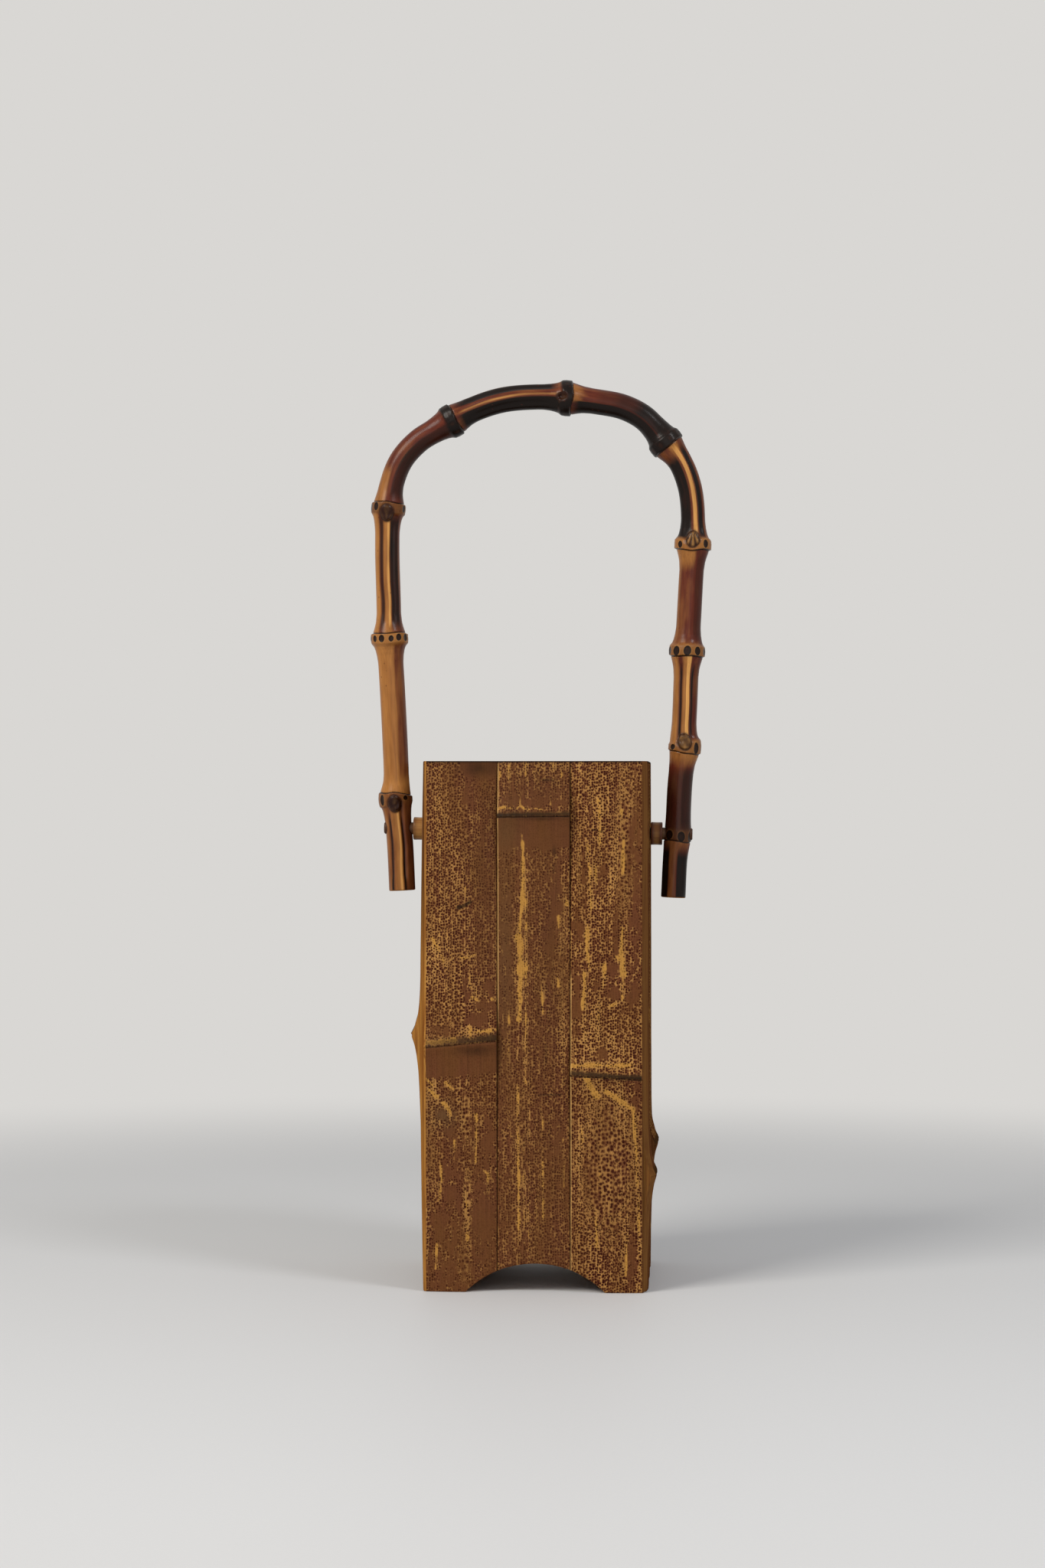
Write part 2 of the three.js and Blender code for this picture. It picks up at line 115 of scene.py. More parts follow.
# Lamps: a wide soft one from the upper left, a smaller one from the upper right
# that draws the highlights on the rhizome, and a low fill
lamps = {
    "bigWindow": {"place": (-1150, -1250, 1500), "size": 900, "watts": 28.0, "tint": "fffaf2"},
    "sideWindow": {"place": (900, -800, 1250), "size": 380, "watts": 6.5, "tint": "fbfcff"},
    "lowFill": {"place": (150, -2000, 500), "size": 1400, "watts": 5.0, "tint": "ffffff"},
}
lampAim = (0, 0, 180)
surround = {"tone": "d9d7d4", "light": "ffffff", "strength": 0.32}
for lampName, lamp in lamps.items():
    lampData = bpy.data.lights.new(lampName, "AREA")
    lampData.energy = lamp["watts"]
    lampData.size = lamp["size"] * mm
    lampData.color = hexColour(lamp["tint"])[:3]
    lampObject = bpy.data.objects.new(lampName, lampData)
    bpy.context.scene.collection.objects.link(lampObject)
    lampObject.location = Vector(lamp["place"]) * mm
    aim = Vector(lampAim) * mm - lampObject.location
    lampObject.rotation_euler = aim.to_track_quat("-Z", "Y").to_euler()

world = bpy.data.worlds.new("studioSurround")
bpy.context.scene.world = world
world.use_nodes = True
world.node_tree.nodes.clear()
ambient = addNode(world.node_tree, "Background", (surround["light"], surround["strength"]))
backdrop = addNode(world.node_tree, "Background", (surround["tone"], 1.0))
chosen = addNode(world.node_tree, "MixShader", (shownRays(world.node_tree), ambient, backdrop))
addNode(world.node_tree, "OutputWorld", {"Surface": chosen})

# Floor: a pale table top that fades into the surround, so that it has no far edge
floor = {"tones": ("d8d9db", "dcddde"), "speck": 900.0, "roughness": 0.6,
         "half": 4000, "lower": 0.1, "fadeFrom": 420, "fadeTo": 900}


def makeFloor():
    half = floor["half"] * mm
    mesh = bpy.data.meshes.new("tableTop")
    mesh.from_pydata([(-half, -half, 0), (half, -half, 0), (half, half, 0), (-half, half, 0)],
                     [], [(0, 1, 2, 3)])
    table = bpy.data.objects.new("tableTop", mesh)
    bpy.context.scene.collection.objects.link(table)
    table.location.z = -floor["lower"] * mm
    material, tree = newMaterial("painted board, matt")
    position = addNode(tree, "NewGeometry").outputs["Position"]
    away = addNode(tree, "VectorMath", (position,), operation="LENGTH")
    fade = addNode(tree, "MapRange", (away, floor["fadeFrom"] * mm, floor["fadeTo"] * mm),
                   interpolation_type="SMOOTHSTEP")
    share = addNode(tree, "Math", (shownRays(tree), fade), operation="MULTIPLY")
    speck = addNode(tree, "TexNoise", {"Vector": position, "Scale": floor["speck"], "Detail": 2.0})
    tone = addNode(tree, "Mix", {0: speck, 6: floor["tones"][0], 7: floor["tones"][1]},
                   data_type="RGBA")
    paint = addNode(tree, "BsdfPrincipled", {"Base Color": tone, "Roughness": floor["roughness"]})
    glow = addNode(tree, "Emission", (surround["tone"], 1.0))
    surface = addNode(tree, "MixShader", (share, paint, glow))
    addNode(tree, "OutputMaterial", {"Surface": surface})
    mesh.materials.append(material)


makeFloor()
print("camera, lamps and table are set")


# Smooth noise on a lattice of square cells, the same each run: about 0 to 1
def softNoise(x, z, cell, seed):
    u, v = x / cell, z / cell
    column, row = np.floor(u), np.floor(v)
    fu, fv = u - column, v - row
    fu, fv = fu * fu * (3 - 2 * fu), fv * fv * (3 - 2 * fv)

    def corner(a, b):
        value = np.sin((column + a) * 127.1 + (row + b) * 311.7 + seed * 74.7) * 43758.5453
        return value - np.floor(value)

    low = corner(0, 0) * (1 - fu) + corner(1, 0) * fu
    high = corner(0, 1) * (1 - fu) + corner(1, 1) * fu
    return low * (1 - fv) + high * fv


def smoothStep(low, high, value):
    t = np.clip((value - low) / (high - low), 0, 1)
    return t * t * (3 - 2 * t)


def bell(away, width):
    return np.exp(-(away / width) ** 2)


def newPiece(name, points, faces, materials, faceSlots=None, sharpAngle=38):
    mesh = bpy.data.meshes.new(name)
    mesh.from_pydata((np.asarray(points) * mm).tolist(), [], faces)
    for material in materials:
        mesh.materials.append(material)
    if faceSlots is not None:
        mesh.polygons.foreach_set("material_index", np.asarray(faceSlots, np.int32))
    mesh.shade_smooth()
    mesh.set_sharp_from_angle(angle=math.radians(sharpAngle))
    mesh.update()
    piece = bpy.data.objects.new(name, mesh)
    bpy.context.scene.collection.objects.link(piece)
    return piece


def meshPoints(piece):
    points = np.zeros(len(piece.data.vertices) * 3)
    piece.data.vertices.foreach_get("co", points)
    return points.reshape(-1, 3) / mm


def paintPiece(piece, **fields):
    for name, values in fields.items():
        values = np.asarray(values, np.float32)
        kind = "FLOAT_VECTOR" if values.ndim == 2 else "FLOAT"
        attribute = piece.data.attributes.new(name, kind, "POINT")
        attribute.data.foreach_set("vector" if values.ndim == 2 else "value", values.ravel())


def drill(piece, cutter):
    hole = piece.modifiers.new("drilled", "BOOLEAN")
    hole.operation = "DIFFERENCE"
    hole.solver = "MANIFOLD"
    hole.object = cutter
    graph = bpy.context.evaluated_depsgraph_get()
    drilled = bpy.data.meshes.new_from_object(piece.evaluated_get(graph))
    piece.modifiers.clear()
    before = piece.data
    piece.data = drilled
    bpy.data.meshes.remove(before)


# Rings of points joined into a closed skin, in the order given, with no ends
def ringFaces(ringCount, ringLength):
    ring = np.arange(ringLength)
    after = (ring + 1) % ringLength
    rows = []
    for r in range(ringCount - 1):
        a = r * ringLength
        rows.append(np.stack([a + ring, a + after, a + ringLength + after,
                              a + ringLength + ring], 1))
    return np.concatenate(rows).tolist()


# Bamboo culm skin, oiled: the mould that spots it leaves dark dots, each in a brown
# halo. Where the halos run together the skin is a smooth brown film, and what they
# leave free shows as a gold network drawn out along the grain. Places on it are
# measured in millimetres, across and up
spottedLook = {
    "gold": "b7874a", "goldShade": "956a3a", "gilt": "b1803a",
    "film": "663e20", "filmGrey": "5d4228", "filmRed": "643a22",
    # dusk: stains, scratches and seams, and painted shade at the nodes; rim: pale rubbed edges, partly a
    # painted highlight
    "dot": "2b0300", "dusk": "1a120a", "band": "452f1a", "rim": "cda062",
    "fibre": (2.4, 0.035, 1), "streak": (0.42, 0.03, 1), "blot": (0.5, 0.22, 1),
    "drift": (0.12, 0.03, 1), "meander": 3.0,
    "smallDots": (1.08, 0.06, 1.0), "bigDots": (1.68, 0.05, 0.82),  # pitch, soft edge, size
    "dotSize": (0.22, 0.145), "dotDepth": (0.1, 0.9),  # the share left to luck, and the rest
    "dotScatter": 0.7, "dotStretch": 0.92, "grit": 1.7, "fray": 0.34, "halo": 0.34,
    "filmEdge": (0.44, 0.62), "giltEdge": (0.46, 0.74),
    "roughness": (0.4, 0.55), "specular": 0.05, "drySpecular": 0.0, "grain": 0.05,
}


def spottedSkin(title, specular):
    look = spottedLook
    material, tree = newMaterial(title)
    place = addNode(tree, "Attribute", attribute_name="skinPlace").outputs["Vector"]
    paints = {name: addNode(tree, "Attribute", attribute_name=name).outputs["Fac"]
              for name in ("film", "veil", "gilt", "bigDots", "dotSize", "dusk", "band", "rim",
                           "wash")}
    # long fibres, streaks of a few millimetres, blots, and a slow drift
    fibre = drawnTexture(tree, "TexNoise", place, look["fibre"], {"Detail": 3.0})
    streak = drawnTexture(tree, "TexNoise", place, look["streak"], {"Detail": 2.0})
    blot = drawnTexture(tree, "TexNoise", place, look["blot"], {"Detail": 4.0, "Roughness": 0.6})
    drift = drawnTexture(tree, "TexNoise", place, look["drift"], {"Detail": 1.0})
    torn, ragged, clouded = [addNode(tree, "Math", (noise, 0.5), operation="SUBTRACT")
                             for noise in (streak, blot, drift)]
    # the dots stand in columns along the grain, and the columns meander a little
    parts = addNode(tree, "SeparateXYZ", (place,))
    across = addNode(tree, "Math", (drift, look["meander"], parts.outputs[0]),
                     operation="MULTIPLY_ADD")
    up, seed = parts.outputs[1], parts.outputs[2]
    # more gold where the streaks and blots thin the halos, and less towards a film
    filmField = addNode(tree, "Math", (ragged, paints["film"]), operation="ADD")
    film = addNode(tree, "MapRange", (filmField, *look["filmEdge"]),
                   interpolation_type="SMOOTHSTEP")
    giltField, thinner = paints["gilt"], addNode(tree, "MapRange", (filmField, 0.3, 0.56, -0.04, 0.24))
    for noise, weight in ((torn, 0.6), (ragged, 0.7)):
        giltField = addNode(tree, "Math", (noise, weight, giltField), operation="MULTIPLY_ADD")
    gilt = addNode(tree, "MapRange", (giltField, *look["giltEdge"]),
                   interpolation_type="SMOOTHSTEP")
    for noise, weight in ((torn, -0.6), (paints["gilt"], -0.3), (ragged, 0.45)):
        thinner = addNode(tree, "Math", (noise, weight, thinner), operation="MULTIPLY_ADD")
    # the fungus eats its way outwards unevenly, so no dot is quite round
    gritPlace = addNode(tree, "CombineXYZ", (across, up, seed))
    grit = addNode(tree, "TexNoise", {"Vector": gritPlace, "Scale": look["grit"], "Detail": 2.0})
    grit = addNode(tree, "Math", (grit, 0.5), operation="SUBTRACT")
    grown = addNode(tree, "Math", (paints["dotSize"], 0.8, 0.6), operation="MULTIPLY_ADD")

    # a lattice of dots, each with its own size and depth, and of the halos round them
    def dotLayer(pitch, softness, gain, share):
        column = addNode(tree, "Math", (across, pitch), operation="DIVIDE")
        whole = addNode(tree, "Math", (column,), operation="FLOOR")
        mixed = addNode(tree, "Math", (seed, 0.37, whole), operation="MULTIPLY_ADD")
        slip = addNode(tree, "TexWhiteNoise", {"W": mixed}, noise_dimensions="1D")
        row = addNode(tree, "Math", (up, look["dotStretch"] / pitch, slip),
                      operation="MULTIPLY_ADD")
        cell = addNode(tree, "CombineXYZ", (column, row))
        spots = addNode(tree, "TexVoronoi", {"Vector": cell, "Scale": 1.0,
                                             "Randomness": look["dotScatter"]},
                        voronoi_dimensions="2D")
        luck = addNode(tree, "SeparateColor", (spots.outputs["Color"],)).outputs
        size = addNode(tree, "Math", (luck[0], *(part * gain for part in look["dotSize"])),
                       operation="MULTIPLY_ADD")
        for factor in (grown, share):
            size = addNode(tree, "Math", (size, factor), operation="MULTIPLY")
        inner = addNode(tree, "Math", (size, softness), operation="SUBTRACT")
        outer = addNode(tree, "Math", (size, softness), operation="ADD")
        away = addNode(tree, "Math", (grit, look["fray"], spots.outputs["Distance"]),
                       operation="MULTIPLY_ADD")
        spot = addNode(tree, "MapRange", (away, outer, inner), interpolation_type="SMOOTHSTEP")
        deep = addNode(tree, "Math", (luck[1], *look["dotDepth"]), operation="MULTIPLY_ADD")
        spot = addNode(tree, "Math", (spot, deep), operation="MULTIPLY")
        edge = addNode(tree, "Math", (size, 0.8, 0.16), operation="MULTIPLY_ADD")
        edge = addNode(tree, "Math", (edge, thinner), operation="ADD")
        edge = addNode(tree, "Math", (edge, share), operation="MULTIPLY")
        end = addNode(tree, "Math", (edge, look["halo"]), operation="ADD")
        halo = addNode(tree, "MapRange", (away, end, edge), interpolation_type="SMOOTHSTEP")
        return spot, addNode(tree, "Math", (halo, share), operation="MULTIPLY")

    coarse = addNode(tree, "Math", (ragged, 0.8, paints["bigDots"]), operation="MULTIPLY_ADD")
    fineShare = addNode(tree, "MapRange", (coarse, 0.7, 0.45))
    bigShare = addNode(tree, "MapRange", (coarse, 0.35, 0.6))
    smallDot, smallHalo = dotLayer(*look["smallDots"], fineShare)
    bigDot, bigHalo = dotLayer(*look["bigDots"], bigShare)
    bare = addNode(tree, "Math", (1.0, gilt), operation="SUBTRACT")
    # dots are faint under the film, and thin out in the gilt streaks
    veiled = addNode(tree, "Math", (film, -0.8, 1.0), operation="MULTIPLY_ADD")
    thinned = addNode(tree, "MapRange", (giltField, 0.6, 1.1, 1.0, 0.1))
    dots = addNode(tree, "Math", (smallDot, bigDot), operation="MAXIMUM")
    for factor in (veiled, thinned):
        dots = addNode(tree, "Math", (dots, factor), operation="MULTIPLY")
    halos = addNode(tree, "Math", (smallHalo, bigHalo), operation="MAXIMUM")
    covered = addNode(tree, "Math", (halos, film), operation="MAXIMUM")
    covered = addNode(tree, "Math", (covered, bare), operation="MULTIPLY")
    # a thin brown veil takes the brightness from the gold, and some of the dark from the dots
    veil = addNode(tree, "Math", (clouded, 1.1, paints["veil"]), operation="MULTIPLY_ADD")
    veil = addNode(tree, "Math", (torn, -0.5, veil), operation="MULTIPLY_ADD", use_clamp=True)
    veil = addNode(tree, "Math", (veil, bare), operation="MULTIPLY")
    dulled = addNode(tree, "Math", (veil, 0.88), operation="MULTIPLY")
    sunk = addNode(tree, "Math", (veil, -0.3, 1.0), operation="MULTIPLY_ADD")
    inked = addNode(tree, "Math", (dots, sunk), operation="MULTIPLY")
    gilded = addNode(tree, "Math", (gilt, 0.8), operation="MULTIPLY")

    ripe = addNode(tree, "MapRange", (fibre, 0.3, 0.6))
    hue = addNode(tree, "MapRange", (drift, 0.35, 0.65))
    skin, brown = look["goldShade"], look["filmRed"]
    for share, colour in ((hue, look["film"]), (paints["wash"], look["filmGrey"])):
        brown = addNode(tree, "Mix", {0: share, 6: brown, 7: colour}, data_type="RGBA")
    # the rim and dusk paints add the pale edges, partly a painted highlight, and the dark stains and
    # seams with painted shade at the nodes
    for share, colour in ((ripe, look["gold"]), (gilded, look["gilt"]), (dulled, brown),
                          (covered, brown), (inked, look["dot"]), (paints["band"], look["band"]),
                          (paints["rim"], look["rim"]), (paints["dusk"], look["dusk"])):
        skin = addNode(tree, "Mix", {0: share, 6: skin, 7: colour}, data_type="RGBA")
    tone = addNode(tree, "Math", (blot, 0.5, fibre), operation="MULTIPLY_ADD")
    lightness = addNode(tree, "MapRange", (tone, 0.5, 1.0, 0.84, 1.16))
    skin = addNode(tree, "HueSaturation", {"Value": lightness, "Color": skin})
    oiled, rough = look["roughness"]
    roughness = addNode(tree, "MapRange", (covered, 0.0, 1.0, rough, oiled))
    height = addNode(tree, "Math", (dots, -0.5, fibre), operation="MULTIPLY_ADD")
    closeMaterial(tree, height, 0.5, look["grain"],
                  {"Base Color": skin, "Roughness": roughness, "Specular IOR Level": specular})
    return material


# Bamboo wood where a plank was sawn or split: straight tan fibres with darker bundles,
# matt, and stained where the glue and the years have reached it
splitLook = {"light": "b9843f", "dark": "8a5526", "bundle": "5b3318", "stain": "55341d",
             "bundlePitch": 0.7, "grain": 0.08, "roughness": 0.7, "specular": 0.02}


def splitWood():
    look = splitLook
    material, tree = newMaterial("bamboo wood, sawn along the grain")
    place = addNode(tree, "TexCoord").outputs["Object"]
    fibre = drawnTexture(tree, "TexNoise", place, (1 / mm, 1 / mm, 0.02 / mm),
                         {"Scale": 1.6, "Detail": 4.0})
    fine = 1 / (look["bundlePitch"] * mm)
    bundle = drawnTexture(tree, "TexVoronoi", place, (fine, fine, 0.03 / mm), {})
    vein = addNode(tree, "MapRange", (bundle, 0.42, 0.2), interpolation_type="SMOOTHSTEP")
    veins = addNode(tree, "Math", (vein, 0.45), operation="MULTIPLY")
    band = addNode(tree, "MapRange", (fibre, 0.35, 0.65))
    stain = addNode(tree, "Attribute", attribute_name="stain").outputs["Fac"]
    wood = look["dark"]
    for share, colour in ((band, "light"), (veins, "bundle"), (stain, "stain")):
        wood = addNode(tree, "Mix", {0: share, 6: wood, 7: look[colour]}, data_type="RGBA")
    closeMaterial(tree, fibre, 0.6, look["grain"],
                  {"Base Color": wood, "Roughness": look["roughness"],
                   "Specular IOR Level": look["specular"]})
    return material


culmSkin = spottedSkin("bamboo culm skin, spotted and oiled", spottedLook["specular"])
dryCulmSkin = spottedSkin("bamboo culm skin, spotted and dry", spottedLook["drySpecular"])
sawnWood = splitWood()
print("bamboo materials are ready")

# The box, in the sizes of the solids it stands for
box = {
    "width": 97.4, "height": 236.0, "thickness": 7.0, "seam": 0.02,
    "skinAtEnds": 1.1, "skinCrown": 1.0, "skinSwell": 1.7, "swellPower": 1.5,
    "ridge": 4.2, "ridgeBelow": 40.0, "ridgeAbove": 26.0,
    "archSpan": 62.0, "archRise": 12.75, "archShift": 0.7,
    "archReach": 40.0,  # the grain gives way to the arch up to this height
    "inset": 0.06,  # keeps the fine surface inside the solid's box
    "arris": (0.45, 0.3), "endArris": (0.35, 0.25),  # width and depth of the rounding
    "scarDepth": 0.4, "scarWidth": 0.9, "bandDepth": 0.12, "fibreDepth": 0.16,
    "seamStain": 0.9,
}
ridgeProfile = [(-1, 0), (-0.6, 0.11), (-0.42, 0.2), (-0.24, 0.4), (-0.12, 0.62), (-0.05, 0.86),
                (0, 1), (0.12, 0.61), (0.34, 0.23), (0.54, 0.1), (0.77, 0.03), (1, 0)]

# Planks of each wall from left to right, seen from outside: node height and ridge as
# shares, climb of the node line, and how the skin is painted. Film and gilt are the
# plain levels; haze adds to a field in a soft round; patches and streaks are drawn on.
# The node's line and painted shade, and the pale rims, rubbed and partly a painted highlight, are for
# the left and the right edge.
# Places are across the wall from its middle and up from the table. A dry wall has lost
# its oil, and stays brown where it is seen nearly edge on
plain = {"film": 0.36, "veil": 0.4, "gilt": 0, "bigDots": 0.1, "dotSize": 0.55, "wash": 0.2}
walls = [
    {"name": "front", "turns": 0, "arch": True, "ends": 0.8, "swell": 0.9, "planks": [
        {"name": "front_plank_left", "node": 0.469, "ridge": 0.76, "climb": 0.095,
         "step": 0.5, "corner": (0.8, 0.4), "cornerStain": 0.1,
         "nodeLine": (0.75, 0.3), "nodeShade": (0.05, 0.6), "nodeFilm": 0.9,
         "bandShare": (0.5, 0.95), "rims": ((0, 236, 0.9), (0, 0, 0)),
         "paint": {"film": 0.3, "veil": 0.33, "gilt": 0, "bigDots": 0.15, "dotSize": 0.62,
                   "wash": 0.12},
         "haze": [("veil", -20, 195, 11, 55, 0.55), ("dotSize", -21, 180, 9, 60, -0.15),
                  ("film", -21, 200, 8, 40, 0.14),
                  ("bigDots", -40, 150, 9, 34, 0.3), ("veil", -32, 228, 18, 10, 0.35),
                  ("film", -24, 233, 10, 5, 0.5),
                  ("veil", -42, 152, 8, 16, -0.3), ("veil", -30, 128, 16, 10, -0.25),
                  ("film", -20, 150, 6, 20, 0.08), ("gilt", -34, 117, 16, 4, 0.16),
                  ("film", -32, 50, 22, 52, 0.2), ("veil", -32, 50, 22, 50, 0.3),
                  ("film", -38, 6, 14, 12, 0.22), ("film", -20, 22, 7, 26, 0.16),
                  ("film", -45.5, 65, 3, 28, -0.2), ("bigDots", -45.5, 65, 3, 28, 0.4),
                  ("film", -30, 78, 2.4, 13, -0.2), ("bigDots", -30, 78, 2.6, 13, 0.75),
                  ("veil", -30, 78, 2.4, 13, -0.4), ("veil", -29.3, 41, 2.4, 14, -0.4),
                  ("film", -29.3, 41, 2.4, 14, -0.2), ("bigDots", -29.3, 41, 2.6, 14, 0.7),
                  ("film", -31, 12, 4, 10, -0.12), ("bigDots", -31, 12, 4, 10, 0.6),
                  ("film", -32, 103, 20, 6, 0.4), ("wash", -40, 78, 6, 6, 0.7)],
         "film": [(-29.6, 222, 1.6, 7.5), (-30.3, 136, 1.9, 11),
                  (-21.4, 127.2, 4.6, 1.9), (-18.9, 135, 2.3, 5), (-23.6, 121.6, 6.6, 3.4),
                  (-39.5, 116.5, 3.5, 1.6), (-41.8, 97, 5.0, 2.0), (-40.5, 78.5, 3.2, 2.8),
                  (-37, 70.5, 5.3, 3.0), (-38.2, 53.5, 2.3, 4.6), (-36.3, 43.5, 4.6, 4.2),
                  (-21.8, 33, 5.4, 10.5), (-19.5, 66, 3.2, 10), (-42, 29, 4, 9), (-36, 20, 3, 6)],
         "gilt": [(1.1, [(-30.4, 180), (-30.2, 176)]), (1.5, [(-45, 157), (-41, 150), (-39, 145)]),
                  (1.7, [(-34.8, 149), (-30, 148.5), (-26, 150)]), (1.4, [(-28.4, 140), (-28, 135)]),
                  (1.7, [(-27.2, 131), (-25, 130)]), (1.2, [(-18.5, 130.5), (-17, 130)]),
                  (1.9, [(-28, 117.6), (-27.6, 113.4)]),
                  (2.8, [(-48.2, 110.9), (-41, 111.5), (-35, 112.2)]),
                  (1.3, [(-33, 115.2), (-27, 115.4), (-17, 116.4)]),
                  (2.0, [(-48, 95), (-45, 92)]), (1.9, [(-46.5, 90), (-43, 87)]),
                  (2.0, [(-39, 93), (-35.5, 90)]), (1.8, [(-40, 84), (-37.5, 81), (-36, 77.5)]),
                  (1.2, [(-25.5, 79), (-25.3, 70), (-25.7, 58)]), (1.2, [(-35.2, 67.5), (-35.4, 59)]),
                  (1.2, [(-41.5, 57), (-41, 50), (-41.5, 44), (-42, 38)]),
                  (0.7, [(-29.6, 55), (-29.8, 40), (-29.4, 21)]),
                  (1.0, [(-22.3, 54), (-20.2, 52.5), (-20, 44)]), (1.7, [(-43, 21.5), (-43.8, 10)])],
         # dusk rounds: the one at 107.6, just under the node, is painted shade under its ridge; the
         # others are stains and darker skin
         "dusk": [(-24, 233, 8.5, 4.2, 0.62), (-26, 107.6, 7, 2.4, 0.5), (-20, 190, 11, 50, 0.15)],
         "scratches": [(1.5, [(-33.6, 170.9), (-31, 171.6), (-28.2, 173.4)], 0.8)]},
        {"name": "front_plank_centre", "node": 0.897, "ridge": 0.7, "climb": 0.012,
         "step": 0.5, "nodeLine": (0.9, 0.9), "nodeShade": (0.8, 0.35), "nodeFilm": 0.9,
         "nodeBand": 2.5, "rims": ((118, 236, 0.95), (0, 0, 0)),
         "paint": {"film": 0.42, "veil": 0.64, "gilt": 0, "bigDots": 0.05, "dotSize": 0.5,
                   "wash": 0.15},
         "haze": [("wash", -13, 150, 4.5, 45, 0.4), ("film", -13, 150, 3.4, 40, 0.16),
                  ("veil", 2, 236, 16, 6, -0.4), ("veil", -4, 130, 4, 60, -0.3),
                  ("veil", 13, 150, 4, 60, -0.2), ("veil", -4, 45, 9, 50, -0.2),
                  ("film", 0, 203, 18, 7, 0.3), ("film", 0, 219, 18, 4, 0.2),
                  ("wash", -12, 205, 8, 8, 0.35), ("film", -13, 206, 5, 6, -0.1),
                  ("film", 9.5, 178, 3.2, 14, 0.2),
                  ("film", 7.8, 157, 3, 10, 0.2), ("film", 11, 66, 2, 8, 0.2),
                  ("film", 0, 232, 18, 4, -0.05), ("bigDots", 13, 150, 4, 70, 0.5),
                  ("bigDots", 8, 60, 8, 45, 0.25), ("film", 13, 140, 4, 60, -0.06),
                  ("dotSize", 3, 60, 12, 50, 0.18), ("veil", 2, 50, 14, 40, 0.12)],
         "film": [(9.6, 177, 2.8, 11), (7.8, 157.5, 2.9, 7.5), (11, 66.5, 1.9, 6.5),
                  (-8, 218.5, 4, 2.6), (12, 218, 4, 2.6)],
         "gilt": [(1.2, [(-14.5, 234), (-15.2, 227.5)]), (1.5, [(-11, 234), (-11, 228)]),
                  (1.3, [(-3.4, 235), (-3.6, 229)]), (1.3, [(1.5, 234), (3, 231)]),
                  (1.1, [(8.6, 234.6), (9.2, 231)]), (1.0, [(12.5, 235), (12.5, 229)]),
                  (1.0, [(0.5, 229), (2, 226.5)]), (0.9, [(-5.7, 222), (-5.9, 217)]),
                  (0.8, [(7.7, 220), (7.7, 217)]), (1.0, [(-16.5, 214.4), (-13, 215.6), (-9, 214.8)]),
                  (1.0, [(-7.3, 214.8), (-5.9, 216.4), (-3.9, 214.9)]),
                  (0.5, [(-2, 214.6), (1, 215), (4, 214.2)]),
                  (1.2, [(-6.2, 206), (-5.2, 203)]),
                  (1.9, [(-5.2, 203), (-4.7, 193.5), (-4.6, 184), (-5, 174), (-6.1, 161)]),
                  (3.6, [(-6.1, 158), (-5.7, 150), (-5.6, 142)]),
                  (2.7, [(-5.8, 141), (-6.2, 130), (-6.4, 121)]), (1.0, [(-6.6, 120), (-7.2, 106)]),
                  (0.8, [(-3.3, 174), (-3.3, 150), (-3.5, 125), (-3.6, 93)]),
                  (0.6, [(-10.8, 128), (-10.9, 111), (-11.9, 101)]),
                  (1.2, [(-6.9, 92), (-6.7, 50), (-6.8, 10)]), (0.5, [(-4.2, 90), (-4.2, 30)]),
                  (0.5, [(-2, 80), (-2.1, 14)]), (0.7, [(4.0, 86), (4.1, 55), (4.3, 24)]),
                  (1.0, [(3.5, 137), (4.5, 122)]), (0.9, [(13.2, 68), (13.6, 47)]),
                  (1.3, [(8.5, 147), (10.8, 139), (11, 136)]), (1.4, [(14.6, 176), (15, 172)]),
                  (0.9, [(4.4, 191), (4.4, 188)]), (1.0, [(11.2, 167), (11.2, 162)])],
         # dusk rounds: the one at 210.7, just under the node, is painted shade under its ridge; the
         # others are stains and darker skin
         "dusk": [(6, 227.6, 4, 0.8, 0.6), (9.2, 196, 0.9, 2.0, 0.6), (2, 225, 18, 14, 0.13),
                  (4, 210.7, 16, 1.0, 0.55), (6, 150, 8, 60, 0.1)],
         "scratches": [(0.5, [(9, 190), (9.1, 186.4)], 0.5), (0.5, [(2, 87.5), (12, 88)], 0.6),
                       (0.4, [(5.4, 110), (5.5, 102)], 0.5)]},
        {"name": "front_plank_right", "node": 0.407, "ridge": 0.74, "climb": -0.06,
         "step": 0.5, "corner": (0.6, 0.3), "cornerStain": 0.9,
         "nodeLine": (0.8, 0.9), "nodeShade": (0.3, 0.85), "nodeFilm": 0.1,
         "nodeBand": 2.8, "rims": ((0, 140, 0.95), (0, 0, 0)),
         "paint": {"film": 0.28, "veil": 0.22, "gilt": 0.02, "bigDots": 0.2, "dotSize": 0.68,
                   "wash": 0.05},
         "haze": [("veil", 33, 112, 14, 12, -0.3), ("veil", 43, 190, 6, 50, 0.35),
                  ("bigDots", 41, 200, 7, 40, 0.5), ("bigDots", 20, 190, 3, 30, 0.3),
                  ("film", 22, 145, 4, 26, 0.12), ("film", 37, 140, 7, 12, 0.14),
                  ("film", 44, 170, 5, 60, 0.12), ("film", 33, 118, 13, 13, -0.12),
                  ("gilt", 30, 101, 16, 3, 0.16), ("bigDots", 33, 55, 16, 40, 0.55),
                  ("film", 33, 60, 14, 40, -0.05), ("film", 46, 190, 2.5, 60, 0.2),
                  ("veil", 31, 50, 16, 44, 0.22), ("dotSize", 33, 40, 16, 44, 0.28),
                  ("bigDots", 33, 118, 12, 12, -0.15), ("gilt", 28, 88, 8, 8, 0.1)],
         "film": [(19.4, 161.5, 2.1, 7), (19.6, 133, 2.0, 15), (22.4, 184.5, 1.6, 9),
                  (18.8, 165, 1.8, 5), (27.4, 137, 1.9, 3.8), (35.6, 143.5, 2.9, 3.4),
                  (36.5, 160, 1.9, 9), (36, 134, 3.1, 3.8), (43.7, 131, 2.6, 5.2),
